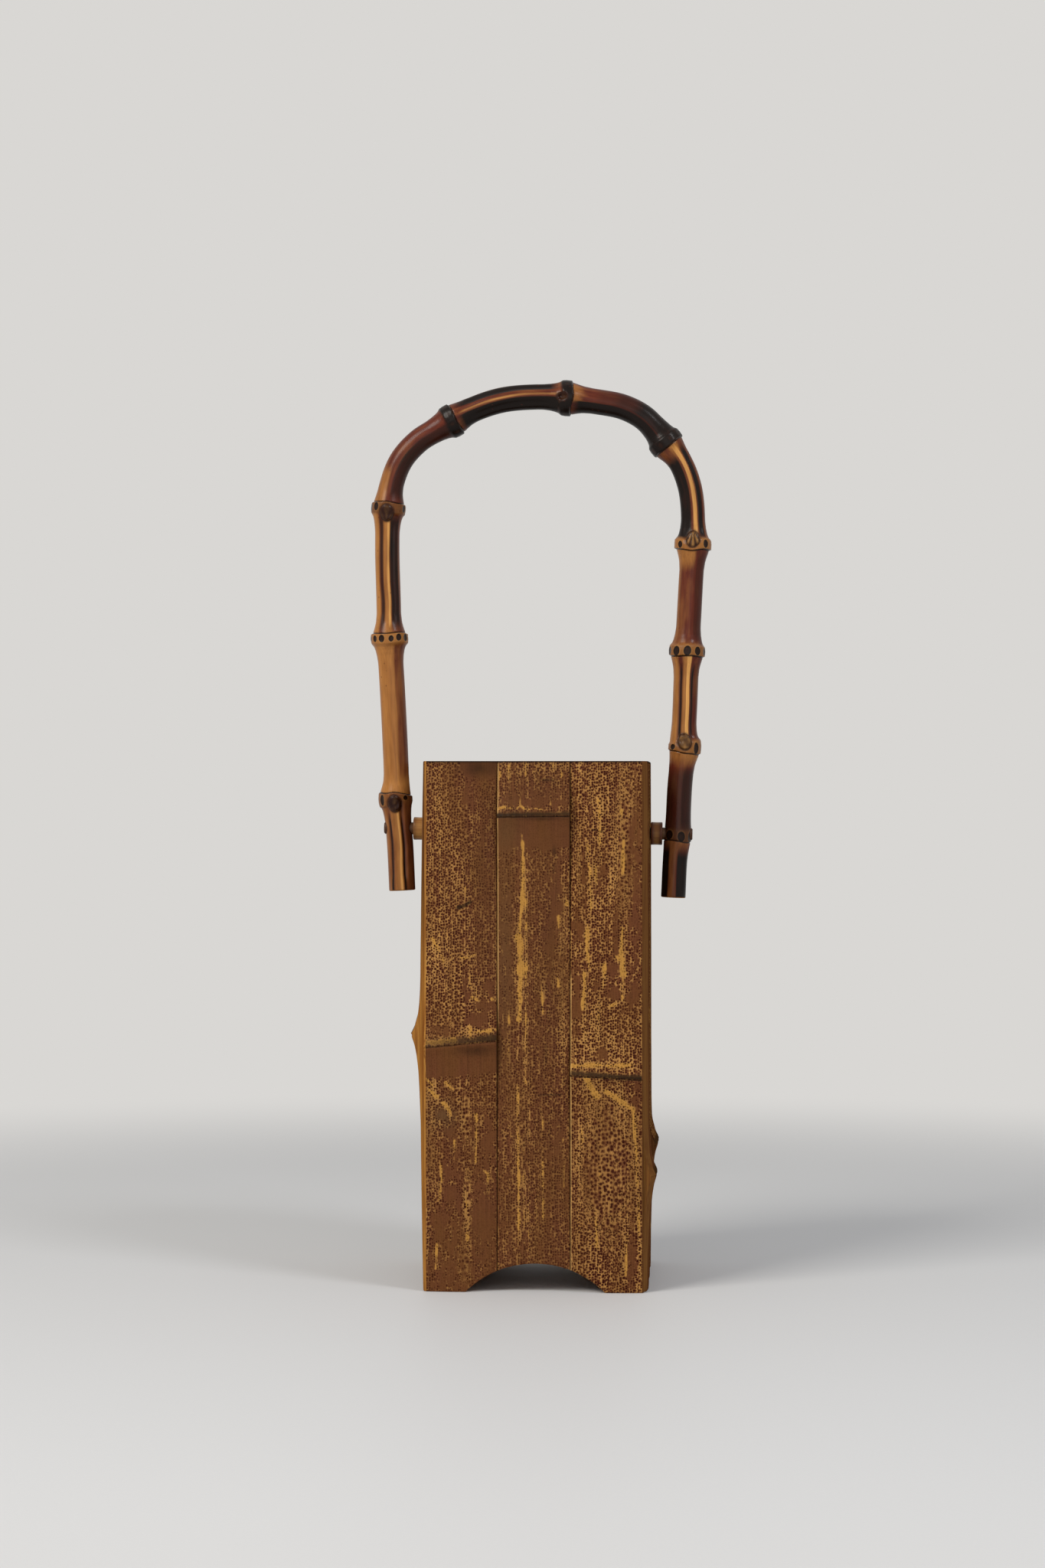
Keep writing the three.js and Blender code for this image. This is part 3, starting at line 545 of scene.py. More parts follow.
                  (45.4, 88.5, 2.0, 5.5), (43.5, 14.6, 2.1, 10.5), (29.8, 106, 2.2, 2.2),
                  (44.8, 170, 1.5, 14), (44.6, 205, 1.6, 12), (30.4, 184, 1.6, 5)],
         "gilt": [(1.2, [(28.8, 219), (29.2, 210), (29.4, 199)]),
                  (1.3, [(24, 199), (25, 186), (25.4, 170)]),
                  (1.0, [(27.6, 192), (28, 180)]), (1.3, [(39, 214), (40, 200), (39.5, 186)]),
                  (2.0, [(24.2, 163), (23.8, 153), (25, 143)]), (1.8, [(22.6, 142), (22.2, 126)]),
                  (1.5, [(22.2, 123), (22.4, 112)]), (1.6, [(31.6, 146), (31, 136)]),
                  (2.4, [(39.6, 162), (39, 151), (40, 141)]), (1.6, [(36, 149.5), (39.5, 147)]),
                  (1.3, [(39.8, 139), (39.4, 130)]), (1.3, [(34.5, 127.5), (38, 129)]),
                  (1.0, [(29, 132), (29, 118)]), (1.0, [(47.2, 152), (47.4, 145)]),
                  (2.2, [(17, 101), (26, 101.5), (36, 101), (43, 101.5)]),
                  (3.4, [(24, 95), (28, 88)]), (2.6, [(32, 89.8), (38, 86), (43.9, 81.6)]),
                  (1.5, [(44, 81), (45.6, 62), (45.8, 44)]), (1.0, [(46.4, 43), (46.8, 20), (47, 2)]),
                  (0.8, [(29, 57), (30.2, 43)]), (0.8, [(27.6, 37), (28, 20)]),
                  (1.0, [(21.6, 80), (21.8, 60)]), (0.8, [(41.4, 26), (41, 8)])],
         # this dusk round, just under the node, is painted shade under its ridge
         "dusk": [(38, 95.2, 8, 1.4, 0.4)],
         "scratches": [(0.4, [(26.2, 205.7), (30.9, 204.5)], 0.8)]},
    ]},
    {"name": "right", "turns": 1, "arch": False, "ends": 1.2, "swell": 0.2, "dry": True, "planks": [
        {"name": "right_plank_front", "node": 0.221, "ridge": 0.86, "climb": 0.03, "seed": 3,
         "corner": (5.0, 1.6), "cornerStain": 0.7, "cornerFilm": 13.0,
         "paint": {"film": 0.42, "bigDots": 0.2}},
        {"name": "right_plank_middle", "node": 0.267, "ridge": 0.93, "climb": 0.05, "seed": 5,
         "pegged": True, "paint": {"film": 0.36, "dotSize": 0.7}},
        {"name": "right_plank_back", "node": 0.242, "ridge": 0.6, "climb": -0.04, "seed": 8,
         "corner": (0.8, 0.35), "paint": {"film": 0.44, "bigDots": 0.4}},
    ]},
    {"name": "back", "turns": 2, "arch": True, "ends": 0.9, "swell": 0.8, "planks": [
        {"name": "back_plank_right", "node": 0.534, "ridge": 0.76, "climb": 0.06, "seed": 11,
         "corner": (1.0, 0.4), "paint": {"film": 0.3, "bigDots": 0.35}},
        {"name": "back_plank_centre", "node": 0.754, "ridge": 0.72, "climb": -0.05, "seed": 14,
         "paint": {"film": 0.42, "dotSize": 0.7}},
        {"name": "back_plank_left", "node": 0.271, "ridge": 0.7, "climb": 0.04, "seed": 17,
         "corner": (1.0, 0.4), "paint": {"film": 0.36, "bigDots": 0.15}},
    ]},
    {"name": "left", "turns": 3, "arch": False, "ends": 0.6, "swell": 0.8, "planks": [
        {"name": "left_plank_back", "node": 0.631, "ridge": 0.7, "climb": -0.05, "seed": 21,
         "corner": (0.8, 0.35), "paint": {"film": 0.34, "bigDots": 0.3}},
        {"name": "left_plank_middle", "node": 0.441, "ridge": 0.62, "climb": 0.04, "seed": 24,
         "pegged": True, "paint": {"film": 0.45}},
        {"name": "left_plank_front", "node": 0.483, "ridge": 1.0, "climb": 0.03, "seed": 28,
         "corner": (0.8, 0.35), "cornerStain": 0.85, "stainRise": (125, 190),
         "paint": {"film": 0.3, "dotSize": 0.75}},
    ]},
]

# A fine table of the ridge, eased so that only its crest stays sharp
ridgeTable = {"places": 801, "easeOver": 24, "easeWidth": 9.0, "crest": 0.05}
ridgePlaces = np.linspace(-1, 1, ridgeTable["places"])
ridgeHeights = np.interp(ridgePlaces, *zip(*ridgeProfile))
easeOver = ridgeTable["easeOver"]
easing = np.exp(-0.5 * (np.arange(-easeOver, easeOver + 1) / ridgeTable["easeWidth"]) ** 2)
eased = np.convolve(np.pad(ridgeHeights, easeOver, "edge"), easing / easing.sum(), "valid")
nearCrest = bell(ridgePlaces, ridgeTable["crest"])
ridgeHeights = eased * (1 - nearCrest) + ridgeHeights * nearCrest


def skinHeight(wall, plank, z, across):
    node = plank["node"] * box["height"]
    room = np.where(z < node, node, box["height"] - node)
    away = np.clip(np.abs(z - node) / room, 0, 1)
    reach = np.where(z < node, box["ridgeBelow"], box["ridgeAbove"])
    ridge = np.interp((z - node) / reach, ridgePlaces, ridgeHeights)
    return (box["skinAtEnds"] * wall["ends"] + box["skinCrown"] * (1 - across ** 2)
            + box["skinSwell"] * wall["swell"] * (1 - away ** box["swellPower"])
            + box["ridge"] * plank["ridge"] * ridge)


def archHeight(x):
    span, rise = box["archSpan"] / 2, box["archRise"]
    radius = (span ** 2 + rise ** 2) / (2 * rise)
    inside = np.clip(radius ** 2 - (x - box["archShift"]) ** 2, 0, None)
    return np.clip(np.sqrt(inside) - (radius - rise), 0, None)


def distanceToLine(x, z, line):
    nearest = np.full(x.shape, 1e9)
    for (x0, z0), (x1, z1) in zip(line[:-1], line[1:]):
        length = max((x1 - x0) ** 2 + (z1 - z0) ** 2, 1e-9)
        t = np.clip(((x - x0) * (x1 - x0) + (z - z0) * (z1 - z0)) / length, 0, 1)
        nearest = np.minimum(nearest, np.hypot(x - x0 - t * (x1 - x0), z - z0 - t * (z1 - z0)))
    return nearest


# Patches, streaks and hazes for a plank that the photograph doesn't show: for each kind of
# haze its reach across, its reach up, and how much it adds
chanceHaze = ([("film", (4, 12), (15, 50), (-0.15, 0.2)), ("veil", (4, 12), (15, 50), (-0.3, 0.4))] * 4
              + [("bigDots", (3, 12), (15, 45), (0.1, 0.6))] * 3
              + [("gilt", (2, 5), (6, 22), (0.1, 0.25))] * 5)
chanceFilms, chanceStreaks = 13, 12


def chanceMarks(plank, left, right, height):
    luck = np.random.RandomState(plank["seed"])
    film = [(luck.uniform(left + 3, right - 3), luck.uniform(8, height - 8),
             luck.uniform(1.4, 4.2), luck.uniform(2.5, 11)) for _ in range(chanceFilms)]
    gilt = []
    for _ in range(chanceStreaks):
        x, z = luck.uniform(left + 2, right - 2), luck.uniform(10, height - 30)
        run, sway = luck.uniform(4, 26), luck.uniform(-0.8, 0.8)
        gilt.append((luck.uniform(0.4, 1.5), [(x, z), (x + sway, z + run * 0.5), (x, z + run)]))
    haze = [(name, luck.uniform(left, right), luck.uniform(0, height), luck.uniform(*reach),
             luck.uniform(*rise), luck.uniform(*amount)) for name, reach, rise, amount in chanceHaze]
    return film, gilt, haze


# How the marks of a plank are drawn, in millimetres. What stands under plain holds for a
# plank that has no value of its own
marks = {
    "plain": {"nodeLine": (0.85, 0.6), "nodeShade": (0.2, 0.5), "bandShare": (0.9, 0.9),
              "nodeFilm": 0.7, "nodeBand": 4.4, "rims": ((0, 0, 0), (0, 0, 0))},
    "wobble": ((2.4, 2.4, 5), (5.5, 2.4, 9)),  # cell, size and seed of each noise
    "frayCell": (1.6, 3), "fray": 1.4,
    "filmEdge": 8, "filmMost": 0.8, "giltEdge": 2,
    # over the node line: the film under it, the gold fringe, the scar's dark line, which is partly
    # painted shade in its groove
    "filmBelow": (-26, -14), "filmThick": (-19, -11), "filmThin": 0.55,
    "fringe": 0.33, "fringeWidth": 1.3, "scarLine": 0.4, "scarAt": 0.45,
    "topEdge": 0.9, "topShade": 0.85,
    "rim": (0.08, 0.26, 0.45, 0.75),  # from the seam on: where it starts and ends
    "seam": (0.08, 0.24), "seamShade": 0.85,
}


def paintPlank(plank, x, z, flatZ, left, right, edgesAway):
    height = box["height"]
    look = {**marks["plain"], **plank}
    fields = {name: np.full(x.shape, level * 1.0)
              for name, level in {**plain, **plank["paint"]}.items()}
    painted = list(fields)
    film, gilt, haze = plank.get("film", []), plank.get("gilt", []), plank.get("haze", [])
    if "seed" in plank:
        film, gilt, haze = chanceMarks(plank, left, right, height)
    for name, cx, cz, rx, rz, amount in haze:
        fields[name] += amount * np.exp(-((x - cx) / rx) ** 2 - ((z - cz) / rz) ** 2)
    wobble = sum((softNoise(x, z, cell, seed) - 0.5) * size for cell, size, seed in marks["wobble"])
    fray = (softNoise(x, z, *marks["frayCell"]) - 0.5) * marks["fray"]
    if "cornerFilm" in plank:
        reach = plank["cornerFilm"]
        fields["film"] += smoothStep(left + reach, left + 0.6 * reach, x)
    for cx, cz, rx, rz in film:
        inside = (1 - np.hypot((x - cx) / rx, (z - cz) / rz)) * min(rx, rz) + wobble + fray
        drawn = np.clip(0.46 + inside / marks["filmEdge"], 0, marks["filmMost"])
        fields["film"] = np.maximum(fields["film"], drawn)
    for width, line in gilt:
        inside = width / 2 - distanceToLine(x, z, line) + wobble * 0.3
        most = min(0.62 + 0.2 * width, 1.1)
        broken = 0.55 + 0.4 * softNoise(x * 2, z * 0.4, 3, 23) + 0.3 * softNoise(x, z * 0.6, 1.6, 29)
        drawn = np.clip(0.5 + inside / marks["giltEdge"], 0, most) * broken
        fields["gilt"] = np.maximum(fields["gilt"], drawn)
    # the node: a greyish band above the scar, gold above that, plain film below
    above = flatZ - plank["node"] * height
    share = np.clip((x - left) / (right - left), 0, 1)
    lineShade, shade, bandShare = [np.interp(share, [0, 1], look[name])
                                   for name in ("nodeLine", "nodeShade", "bandShare")]
    below = smoothStep(*marks["filmBelow"], above + 5 * (softNoise(x, z, 6, 7) - 0.5))
    below *= look["nodeFilm"] * (above < -0.6)
    for smooth in (below * smoothStep(*marks["filmThick"], above), below * marks["filmThin"]):
        fields["film"] = np.maximum(fields["film"], smooth)
    band, frayed = look["nodeBand"], fray * look["nodeBand"] / marks["plain"]["nodeBand"]
    grey = smoothStep(band, band * 0.3, above + frayed)
    fields["band"] = bandShare * smoothStep(-0.2, 0.3, above) * grey
    fringe = bell(above - band - 0.8 - fray, marks["fringeWidth"])
    fields["gilt"] += marks["fringe"] * fringe * softNoise(x, z, 2.2, 17)
    # the scar's dark line and the darker band: partly the node's own colour, partly painted shade in the
    # scar's groove and under the ridge
    dusk = lineShade * bell(above + marks["scarAt"] + fray * 0.15, marks["scarLine"])
    darkBandAndShade = smoothStep(-1.3, -0.5, above + fray * 0.3)
    darkBandAndShade *= smoothStep(band * 0.75, band * 0.25, above + fray * band / 9)
    dusk = np.maximum(dusk, darkBandAndShade * shade * (0.85 + 0.15 * np.sin(above * 4.2 + fray * 2)))
    for cx, cz, rx, rz, amount in plank.get("dusk", []):
        inside = np.hypot((x - cx) / rx, (z - cz) / rz) + wobble * 0.1
        dusk = np.maximum(dusk, amount * np.exp(-np.clip(inside, 0, None) ** 2))
    for width, line, amount in plank.get("scratches", []):
        inside = width / 2 - distanceToLine(x, z, line) + wobble * 0.05
        dusk = np.maximum(dusk, amount * smoothStep(-0.35, 0.2, inside))
    topEdge = marks["topShade"] * smoothStep(height - marks["topEdge"], height - 0.35, z)
    dusk = np.clip(np.maximum(dusk, topEdge), 0, 0.97)
    # pale rubbed edges where two planks meet, partly a painted highlight on the left edges, and the dark
    # seam itself
    rubbedAndLit = np.clip(0.35 + 0.75 * softNoise(x * 0.2, z, 7, 31), 0, 0.9)
    nearest, near, far, farthest = marks["rim"]
    fields["rim"] = np.zeros(x.shape)
    for (foot, top, amount), away in zip(look["rims"], edgesAway):
        seen = smoothStep(nearest, near, away) * smoothStep(farthest, far, away)
        seen *= smoothStep(foot - 4, foot + 4, z) * smoothStep(top + 4, top - 4, z)
        fields["rim"] = np.maximum(fields["rim"], amount * seen * rubbedAndLit)
    fields["rim"] *= 1 - np.clip(dusk * 1.2, 0, 1)
    seam = smoothStep(marks["seam"][1], marks["seam"][0], np.minimum(*edgesAway))
    fields["dusk"] = np.maximum(dusk, marks["seamShade"] * seam)
    for name in painted:
        fields[name] = np.clip(fields[name], 0, 1)
    return fields


# The grid of points on a plank: its rows are close where the node's ridge is steep
plankGrid = {
    "atEdges": (0, 0.15, 0.3), "column": 0.8, "row": 1.6, "fineRow": 0.7, "closest": 0.12,
    "nearNode": ((-9, -2, 0.8), (-2, 2, 0.3), (2, 8, 0.6)),
}


def plankRows(node, height, coarse):
    near = [node + np.arange(*part) for part in plankGrid["nearNode"]]
    rows = np.concatenate([np.arange(1.0, height - 0.5, coarse), *near,
                           [0, 0.3, height - 0.3, height]])
    rows = np.unique(np.round(rows[(rows >= 0) & (rows <= height)], 3))
    keep = np.concatenate([[True], np.diff(rows) > plankGrid["closest"]])
    keep[-1] = True
    return rows[keep]


def makePlank(wall, slot):
    plank = wall["planks"][slot]
    height, face = box["height"], box["width"] / 2
    width = box["width"] / 3
    left, right = -face + slot * width, -face + slot * width + width
    node = plank["node"] * height
    atLeft, atRight = slot == 0, slot == 2
    seam, mitre = box["seam"] / 2, box["seam"] / 2 * math.sqrt(2)
    outerLeft = left + (mitre if atLeft else seam)
    outerRight = right - (mitre if atRight else seam)
    innerLeft = outerLeft + (box["thickness"] if atLeft else 0)
    innerRight = outerRight - (box["thickness"] if atRight else 0)
    cutLeft, deepLeft = plank["corner"] if atLeft else box["arris"]
    cutRight, deepRight = plank["corner"] if atRight else box["arris"]
    span = outerRight - outerLeft
    edges = np.array([*plankGrid["atEdges"], box["arris"][0]])
    gap = plankGrid["column"]
    columns = np.concatenate([edges, [cutLeft, span - cutRight], span - edges,
                              np.arange(gap, span - gap, plank.get("step", gap))])
    share = np.unique(np.round(columns, 2)) / span
    share[-1] = 1
    rows = plankRows(node, height, plankGrid["fineRow" if "step" in plank else "row"])

    # how far the climb of the node line lifts a point, less and less towards both ends
    def lift(x, z):
        room = np.where(z < node, node, height - node)
        fade = 1 - np.clip(np.abs(z - node) / room, 0, 1)
        return plank["climb"] * width * fade * ((x - left) / width - 0.5)

    # the rows climb with the node line, and the lowest ones follow the arch
    def grid(xs):
        x, z = np.meshgrid(xs, rows)
        z = z + lift(x, z)
        if wall["arch"]:
            low, reach = archHeight(x), box["archReach"]
            z = np.where(z < reach, low + z * (1 - low / reach), z)
        return x, z

    skinX, skinZ = grid(outerLeft + span * share)
    innerX, innerZ = grid(innerLeft + (innerRight - innerLeft) * share)
    sideX, sideZ = grid([outerRight, outerLeft])
    flat = skinZ - lift(skinX, skinZ)
    above = flat - node
    fromLeft, fromRight = skinX - outerLeft, outerRight - skinX
    out = skinHeight(wall, plank, flat, 2 * fromLeft / span - 1) - box["inset"]
    ragged = (softNoise(skinX, skinZ, 3.0, 41 + slot) - 0.5) * 0.5
    out -= box["scarDepth"] * bell(above + 0.55 + ragged * 0.4, box["scarWidth"] / 2)
    band = smoothStep(0, 0.6, above) * smoothStep(5, 3, above)
    out -= box["bandDepth"] * band * softNoise(skinX, skinZ, 1.3, 51)
    out -= box["fibreDepth"] * softNoise(skinX * 2.0, skinZ * 0.1, 3.0, 61 + slot)
    out -= deepLeft * np.clip(1 - fromLeft / cutLeft, 0, 1)
    out -= deepRight * np.clip(1 - fromRight / cutRight, 0, 1)
    endAway = np.minimum(skinZ - (archHeight(skinX) if wall["arch"] else 0), height - skinZ)
    endWidth, endDepth = box["endArris"]
    out -= endDepth * np.clip(1 - endAway / endWidth, 0, 1)

    # each row is a ring: over the skin, in at one side, back along the inner face and out
    def sheet(x, y, z):
        return np.stack([x, np.broadcast_to(y, x.shape), z], 2)

    ring = np.concatenate([
        sheet(skinX, -face - out, skinZ), sheet(sideX[:, :1], -face, sideZ[:, :1]),
        sheet(innerX, -face + box["thickness"], innerZ)[:, ::-1],
        sheet(sideX[:, 1:], -face, sideZ[:, 1:])], 1)
    length, count = ring.shape[1], skinX.shape[1]
    points, faces = ring.reshape(-1, 3), ringFaces(len(rows), length)
    slots = np.ones((len(rows) - 1, length), int)
    bevel = ((fromLeft[0] < cutLeft + 0.01) & atLeft) | ((fromRight[0] < cutRight + 0.01) & atRight)
    slots[:, :count - 1] = bevel[:-1] & bevel[1:]
    faceSlots = slots.ravel().tolist()
    for base in (0, (len(rows) - 1) * length):
        skin = [base + i for i in range(count)]
        inner = [base + 2 * count - i for i in range(count)]
        caps = [(skin[i], skin[i + 1], inner[i + 1], inner[i]) for i in range(count - 1)]
        caps.append((skin[-1], base + count, inner[-1]))
        caps.append((skin[0], inner[0], base + length - 1))
        faces += [c[::-1] if base == 0 else c for c in caps]
        faceSlots += [1] * len(caps)
    skin = dryCulmSkin if wall.get("dry") else culmSkin
    piece = newPiece("culm_" + plank["name"], points, faces, [skin, sawnWood], faceSlots, 32)
    if plank.get("pegged"):
        cutter = pegCutter(wall)
        drill(piece, cutter)
        bpy.data.objects.remove(cutter)
        points = meshPoints(piece)

    x, y, z = points.T
    fields = paintPlank(plank, x, z, z - lift(x, z), left, right, (x - outerLeft, outerRight - x))
    seed = plank.get("seed", slot + 1) * 7.0
    fields["skinPlace"] = np.stack([x, z, np.full_like(x, seed)], 1)
    stain = 0.12 + 0.5 * smoothStep(-face + 1, -face + 6, y) * softNoise(x, z, 14, 71)
    corner = plank.get("cornerStain", 0.3) * smoothStep(*plank.get("stainRise", (-1, 0)), z)
    corner *= ((x > 0) if atRight else (x < 0)) & (y < -face + 0.2)
    fields["stain"] = np.maximum(stain, corner)
    for edge, mitred in ((outerLeft, atLeft), (outerRight, atRight)):
        glued = (np.abs(x - edge) < 0.02) & (not mitred)
        fields["stain"] = np.maximum(fields["stain"], box["seamStain"] * glued)
    paintPiece(piece, **fields)
    piece.data.transform(Matrix.Rotation(wall["turns"] * math.pi / 2, 4, "Z"))
    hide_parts(plank["name"])
    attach(piece, "box")


# The pivot, in the sizes of the solids
pivot = {"dropLeft": 30.5, "dropRight": 33.1, "peg": 5.7, "pegProud": 0.2, "sleeve": 10.9,
         "play": 0.15, "gap": 0.3, "standOff": 7.2, "culm": 11.8,
         "drillReach": 100, "drillSides": 48}
pivotHeight = box["height"] - (pivot["dropLeft"] + pivot["dropRight"]) / 2
skinAtPeg = {side: box["width"] / 2 + float(skinHeight(walls[wall], walls[wall]["planks"][1],
                                                       np.array(pivotHeight), 0))
             for side, wall in (("right", 1), ("left", 3))}
legReach = max(skinAtPeg.values()) + pivot["standOff"] + pivot["culm"] / 2
pivotTilt = math.atan2(pivot["dropRight"] - pivot["dropLeft"], 2 * legReach)
pivotPlace = Matrix.Translation((0, 0, pivotHeight)) @ Matrix.Rotation(pivotTilt, 4, "Y")


# Rings around the z axis through the points (radius, height) of a profile. It runs up
# the outside and down the inside; a point on the axis closes the form
def turnedForm(profile, sides, looped=False):
    points, rings = [], []
    for radius, height in profile:
        if radius == 0:
            rings.append([len(points)])
            points.append((0, 0, height))
            continue
        rings.append(list(range(len(points), len(points) + sides)))
        for i in range(sides):
            angle = 2 * math.pi * i / sides
            points.append((radius * math.cos(angle), radius * math.sin(angle), height))
    pairs = list(zip(rings[:-1], rings[1:])) + ([(rings[-1], rings[0])] if looped else [])
    faces = []
    for low, high in pairs:
        for i in range(sides):
            j = (i + 1) % sides
            if len(low) == 1:
                faces.append((low[0], high[j], high[i]))
            elif len(high) == 1:
                faces.append((low[i], low[j], high[0]))
            else:
                faces.append((low[i], low[j], high[j], high[i]))
    return np.array(points), faces


# A drill along the pivot axis, with the material of a cut face in its second slot
def pivotDrill(radius):
    reach = pivot["drillReach"]
    profile = [(0, -reach), (radius, -reach), (radius, reach), (0, reach)]
    points, faces = turnedForm(profile, pivot["drillSides"])
    cutter = newPiece("drill", points, faces, [culmSkin, sawnWood], [1] * len(faces))
    cutter.data.transform(Matrix.Rotation(math.pi / 2, 4, "Y"))
    cutter.data.transform(Matrix.Translation((0, 0, pivotHeight * mm))
                          @ Matrix.Rotation(pivotTilt, 4, "Y"))
    return cutter


def pegCutter(wall):
    cutter = pivotDrill(pivot["peg"] / 2 + pivot["play"])
    cutter.data.transform(Matrix.Rotation(-wall["turns"] * math.pi / 2, 4, "Z"))
    return cutter


for wall in walls:
    for slot in range(3):
        makePlank(wall, slot)
    print("planks of the", wall["name"], "wall are made")

# Rhizome of the same bamboo, polished and oiled: a solid hard culm whose short joints
# run from honey over mahogany to soot black, with a gold ridge between the dark
# grooves above each bud, and a ring of round root scars at each node
rhizomeLook = {
    "mahogany": "6b301f", "mahoganyDark": "44190f", "honey": "b47a3f", "honeyDeep": "9a6530",
    "gild": "cf9652", "char": "150c08", "root": "170b06", "rootCore": "2e160b",
    "rootRim": "a67845", "bud": "8f6636", "budDark": "280f08",
    "fibre": (2.6, 2.6, 0.08), "streak": (0.6, 0.6, 0.07), "cloud": (0.16, 0.16, 0.06),
    "speck": (0.75, 0.75, 0.45), "specks": 0.09, "grain": 0.05,
    "roughness": (0.26, 0.38), "specular": 0.14, "coat": 0.05, "coatRoughness": 0.12,
}


def rhizomeSkin():
    look = rhizomeLook
    material, tree = newMaterial("bamboo rhizome, polished and oiled")
    place = addNode(tree, "Attribute", attribute_name="rhizomePlace").outputs["Vector"]
    paints = {name: addNode(tree, "Attribute", attribute_name=name).outputs["Fac"]
              for name in ("honey", "gild", "char", "rootAway", "scarAway", "bud", "budRib")}
    fibre = drawnTexture(tree, "TexNoise", place, look["fibre"], {"Detail": 3.0})
    streak = drawnTexture(tree, "TexNoise", place, look["streak"], {"Detail": 3.0})
    cloud = drawnTexture(tree, "TexNoise", place, look["cloud"], {"Detail": 2.0})
    speckCell = drawnTexture(tree, "TexVoronoi", place, look["speck"], {})
    torn, drifted = [addNode(tree, "Math", (noise, 0.5), operation="SUBTRACT")
                     for noise in (streak, cloud)]
    loose = addNode(tree, "Math", (drifted, 0.8, torn), operation="MULTIPLY_ADD")
    shares = {}
    for name, noise, weight, start, end, easing in (("honey", loose, 0.55, 0.05, 0.95, "LINEAR"),
                                                    ("gild", torn, 0.5, 0.2, 0.8, "SMOOTHSTEP"),
                                                    ("char", loose, 0.4, 0.08, 0.85, "LINEAR")):
        field = addNode(tree, "Math", (noise, weight, paints[name]), operation="MULTIPLY_ADD")
        shares[name] = addNode(tree, "MapRange", (field, start, end), interpolation_type=easing)
    # root scars have a pale rim and a dark pit, and a dark line marks the sheath's scar
    rimShare, pitShare, core, scarShare = [
        addNode(tree, "MapRange", (paints[name], start, end), interpolation_type="SMOOTHSTEP")
        for name, start, end in (("rootAway", 1.4, 1.15), ("rootAway", 1.12, 0.92),
                                 ("rootAway", 0.85, 0.35), ("scarAway", 0.5, 0.2))]
    unburnt = addNode(tree, "Math", (shares["char"], -0.6, 0.45), operation="MULTIPLY_ADD")
    rimShare = addNode(tree, "Math", (rimShare, unburnt), operation="MULTIPLY", use_clamp=True)
    core = addNode(tree, "Math", (core, streak), operation="MULTIPLY")
    scarShare = addNode(tree, "Math", (scarShare, 0.9), operation="MULTIPLY")
    luck = addNode(tree, "SeparateColor", (speckCell.outputs["Color"],)).outputs
    few = addNode(tree, "Math", (luck[1], look["specks"]), operation="LESS_THAN")
    near = addNode(tree, "MapRange", (speckCell, 0.26, 0.12), interpolation_type="SMOOTHSTEP")
    speck = addNode(tree, "Math", (few, near), operation="MULTIPLY")
    speck = addNode(tree, "Math", (speck, 0.6), operation="MULTIPLY")

    red, tan, pit, budTone = [
        addNode(tree, "Mix", {0: share, 6: look[dark], 7: look[light]}, data_type="RGBA")
        for share, dark, light in ((streak, "mahoganyDark", "mahogany"),
                                   (cloud, "honeyDeep", "honey"), (core, "root", "rootCore"),
                                   (paints["budRib"], "budDark", "bud"))]
    skin = red
    for share, colour in ((shares["honey"], tan), (shares["gild"], look["gild"]),
                          (shares["char"], look["char"]), (rimShare, look["rootRim"]),
                          (pitShare, pit), (paints["bud"], budTone), (scarShare, look["char"]),
                          (speck, look["mahoganyDark"])):
        skin = addNode(tree, "Mix", {0: share, 6: skin, 7: colour}, data_type="RGBA")
    lightness = addNode(tree, "MapRange", (fibre, 0.3, 0.7, 0.88, 1.12))
    skin = addNode(tree, "HueSaturation", {"Value": lightness, "Color": skin})
    roughness = addNode(tree, "MapRange", (cloud, 0.3, 0.7, *look["roughness"]))
    height = addNode(tree, "Math", (speck, -1.0, fibre), operation="MULTIPLY_ADD")
    closeMaterial(tree, height, 0.35, look["grain"],
                  {"Base Color": skin, "Roughness": roughness,
                   "Specular IOR Level": look["specular"], "Coat Weight": look["coat"],
                   "Coat Roughness": look["coatRoughness"]})
    return material


# The handle's centreline from the left foot over the crown to the right foot: across
# as a share of the legs' reach, up as a share of the rise, or of the tail below the
# pegs; then the node's and the following culm's thickness as shares, where they change
handle = {
    "culm": pivot["culm"], "node": 17.0, "reach": 12.0, "rise": 199.4, "tail": 30.4,
    "sides": 96, "step": 0.95, "fineStep": 0.32, "fineReach": (-9, 4.5), "closest": 0.14,
    "inset": 0.15,
    "scar": 2.65, "scarDepth": 0.3, "scarWidth": 0.3,
    # the ring dips towards its bud: how far, over how many degrees, over which length
    "dip": (0.9, 26, 7), "wave": 0.25, "wander": (5, 11.0), "edgeSoftness": 3.6,
    "rootless": 33,  # degrees from the middle of the bud
    "rootRim": 0.1, "rootPit": (0.25, 0.22),  # as deep as the first, less soot times the second
    "bud": 0.4, "budAbove": 2.4, "budRadius": (3.6, 3.6),
    "stubRadius": (2.3, 2.5), "stubDepth": 1.5,
    "budRibs": 9, "fineBudRibs": 17,
    "endChamfer": 0.35, "endRings": ((0.94, 0), (0.6, 0.05), (0.25, 0.1)), "endHollow": 0.12,
    "endStain": 0.45,
}
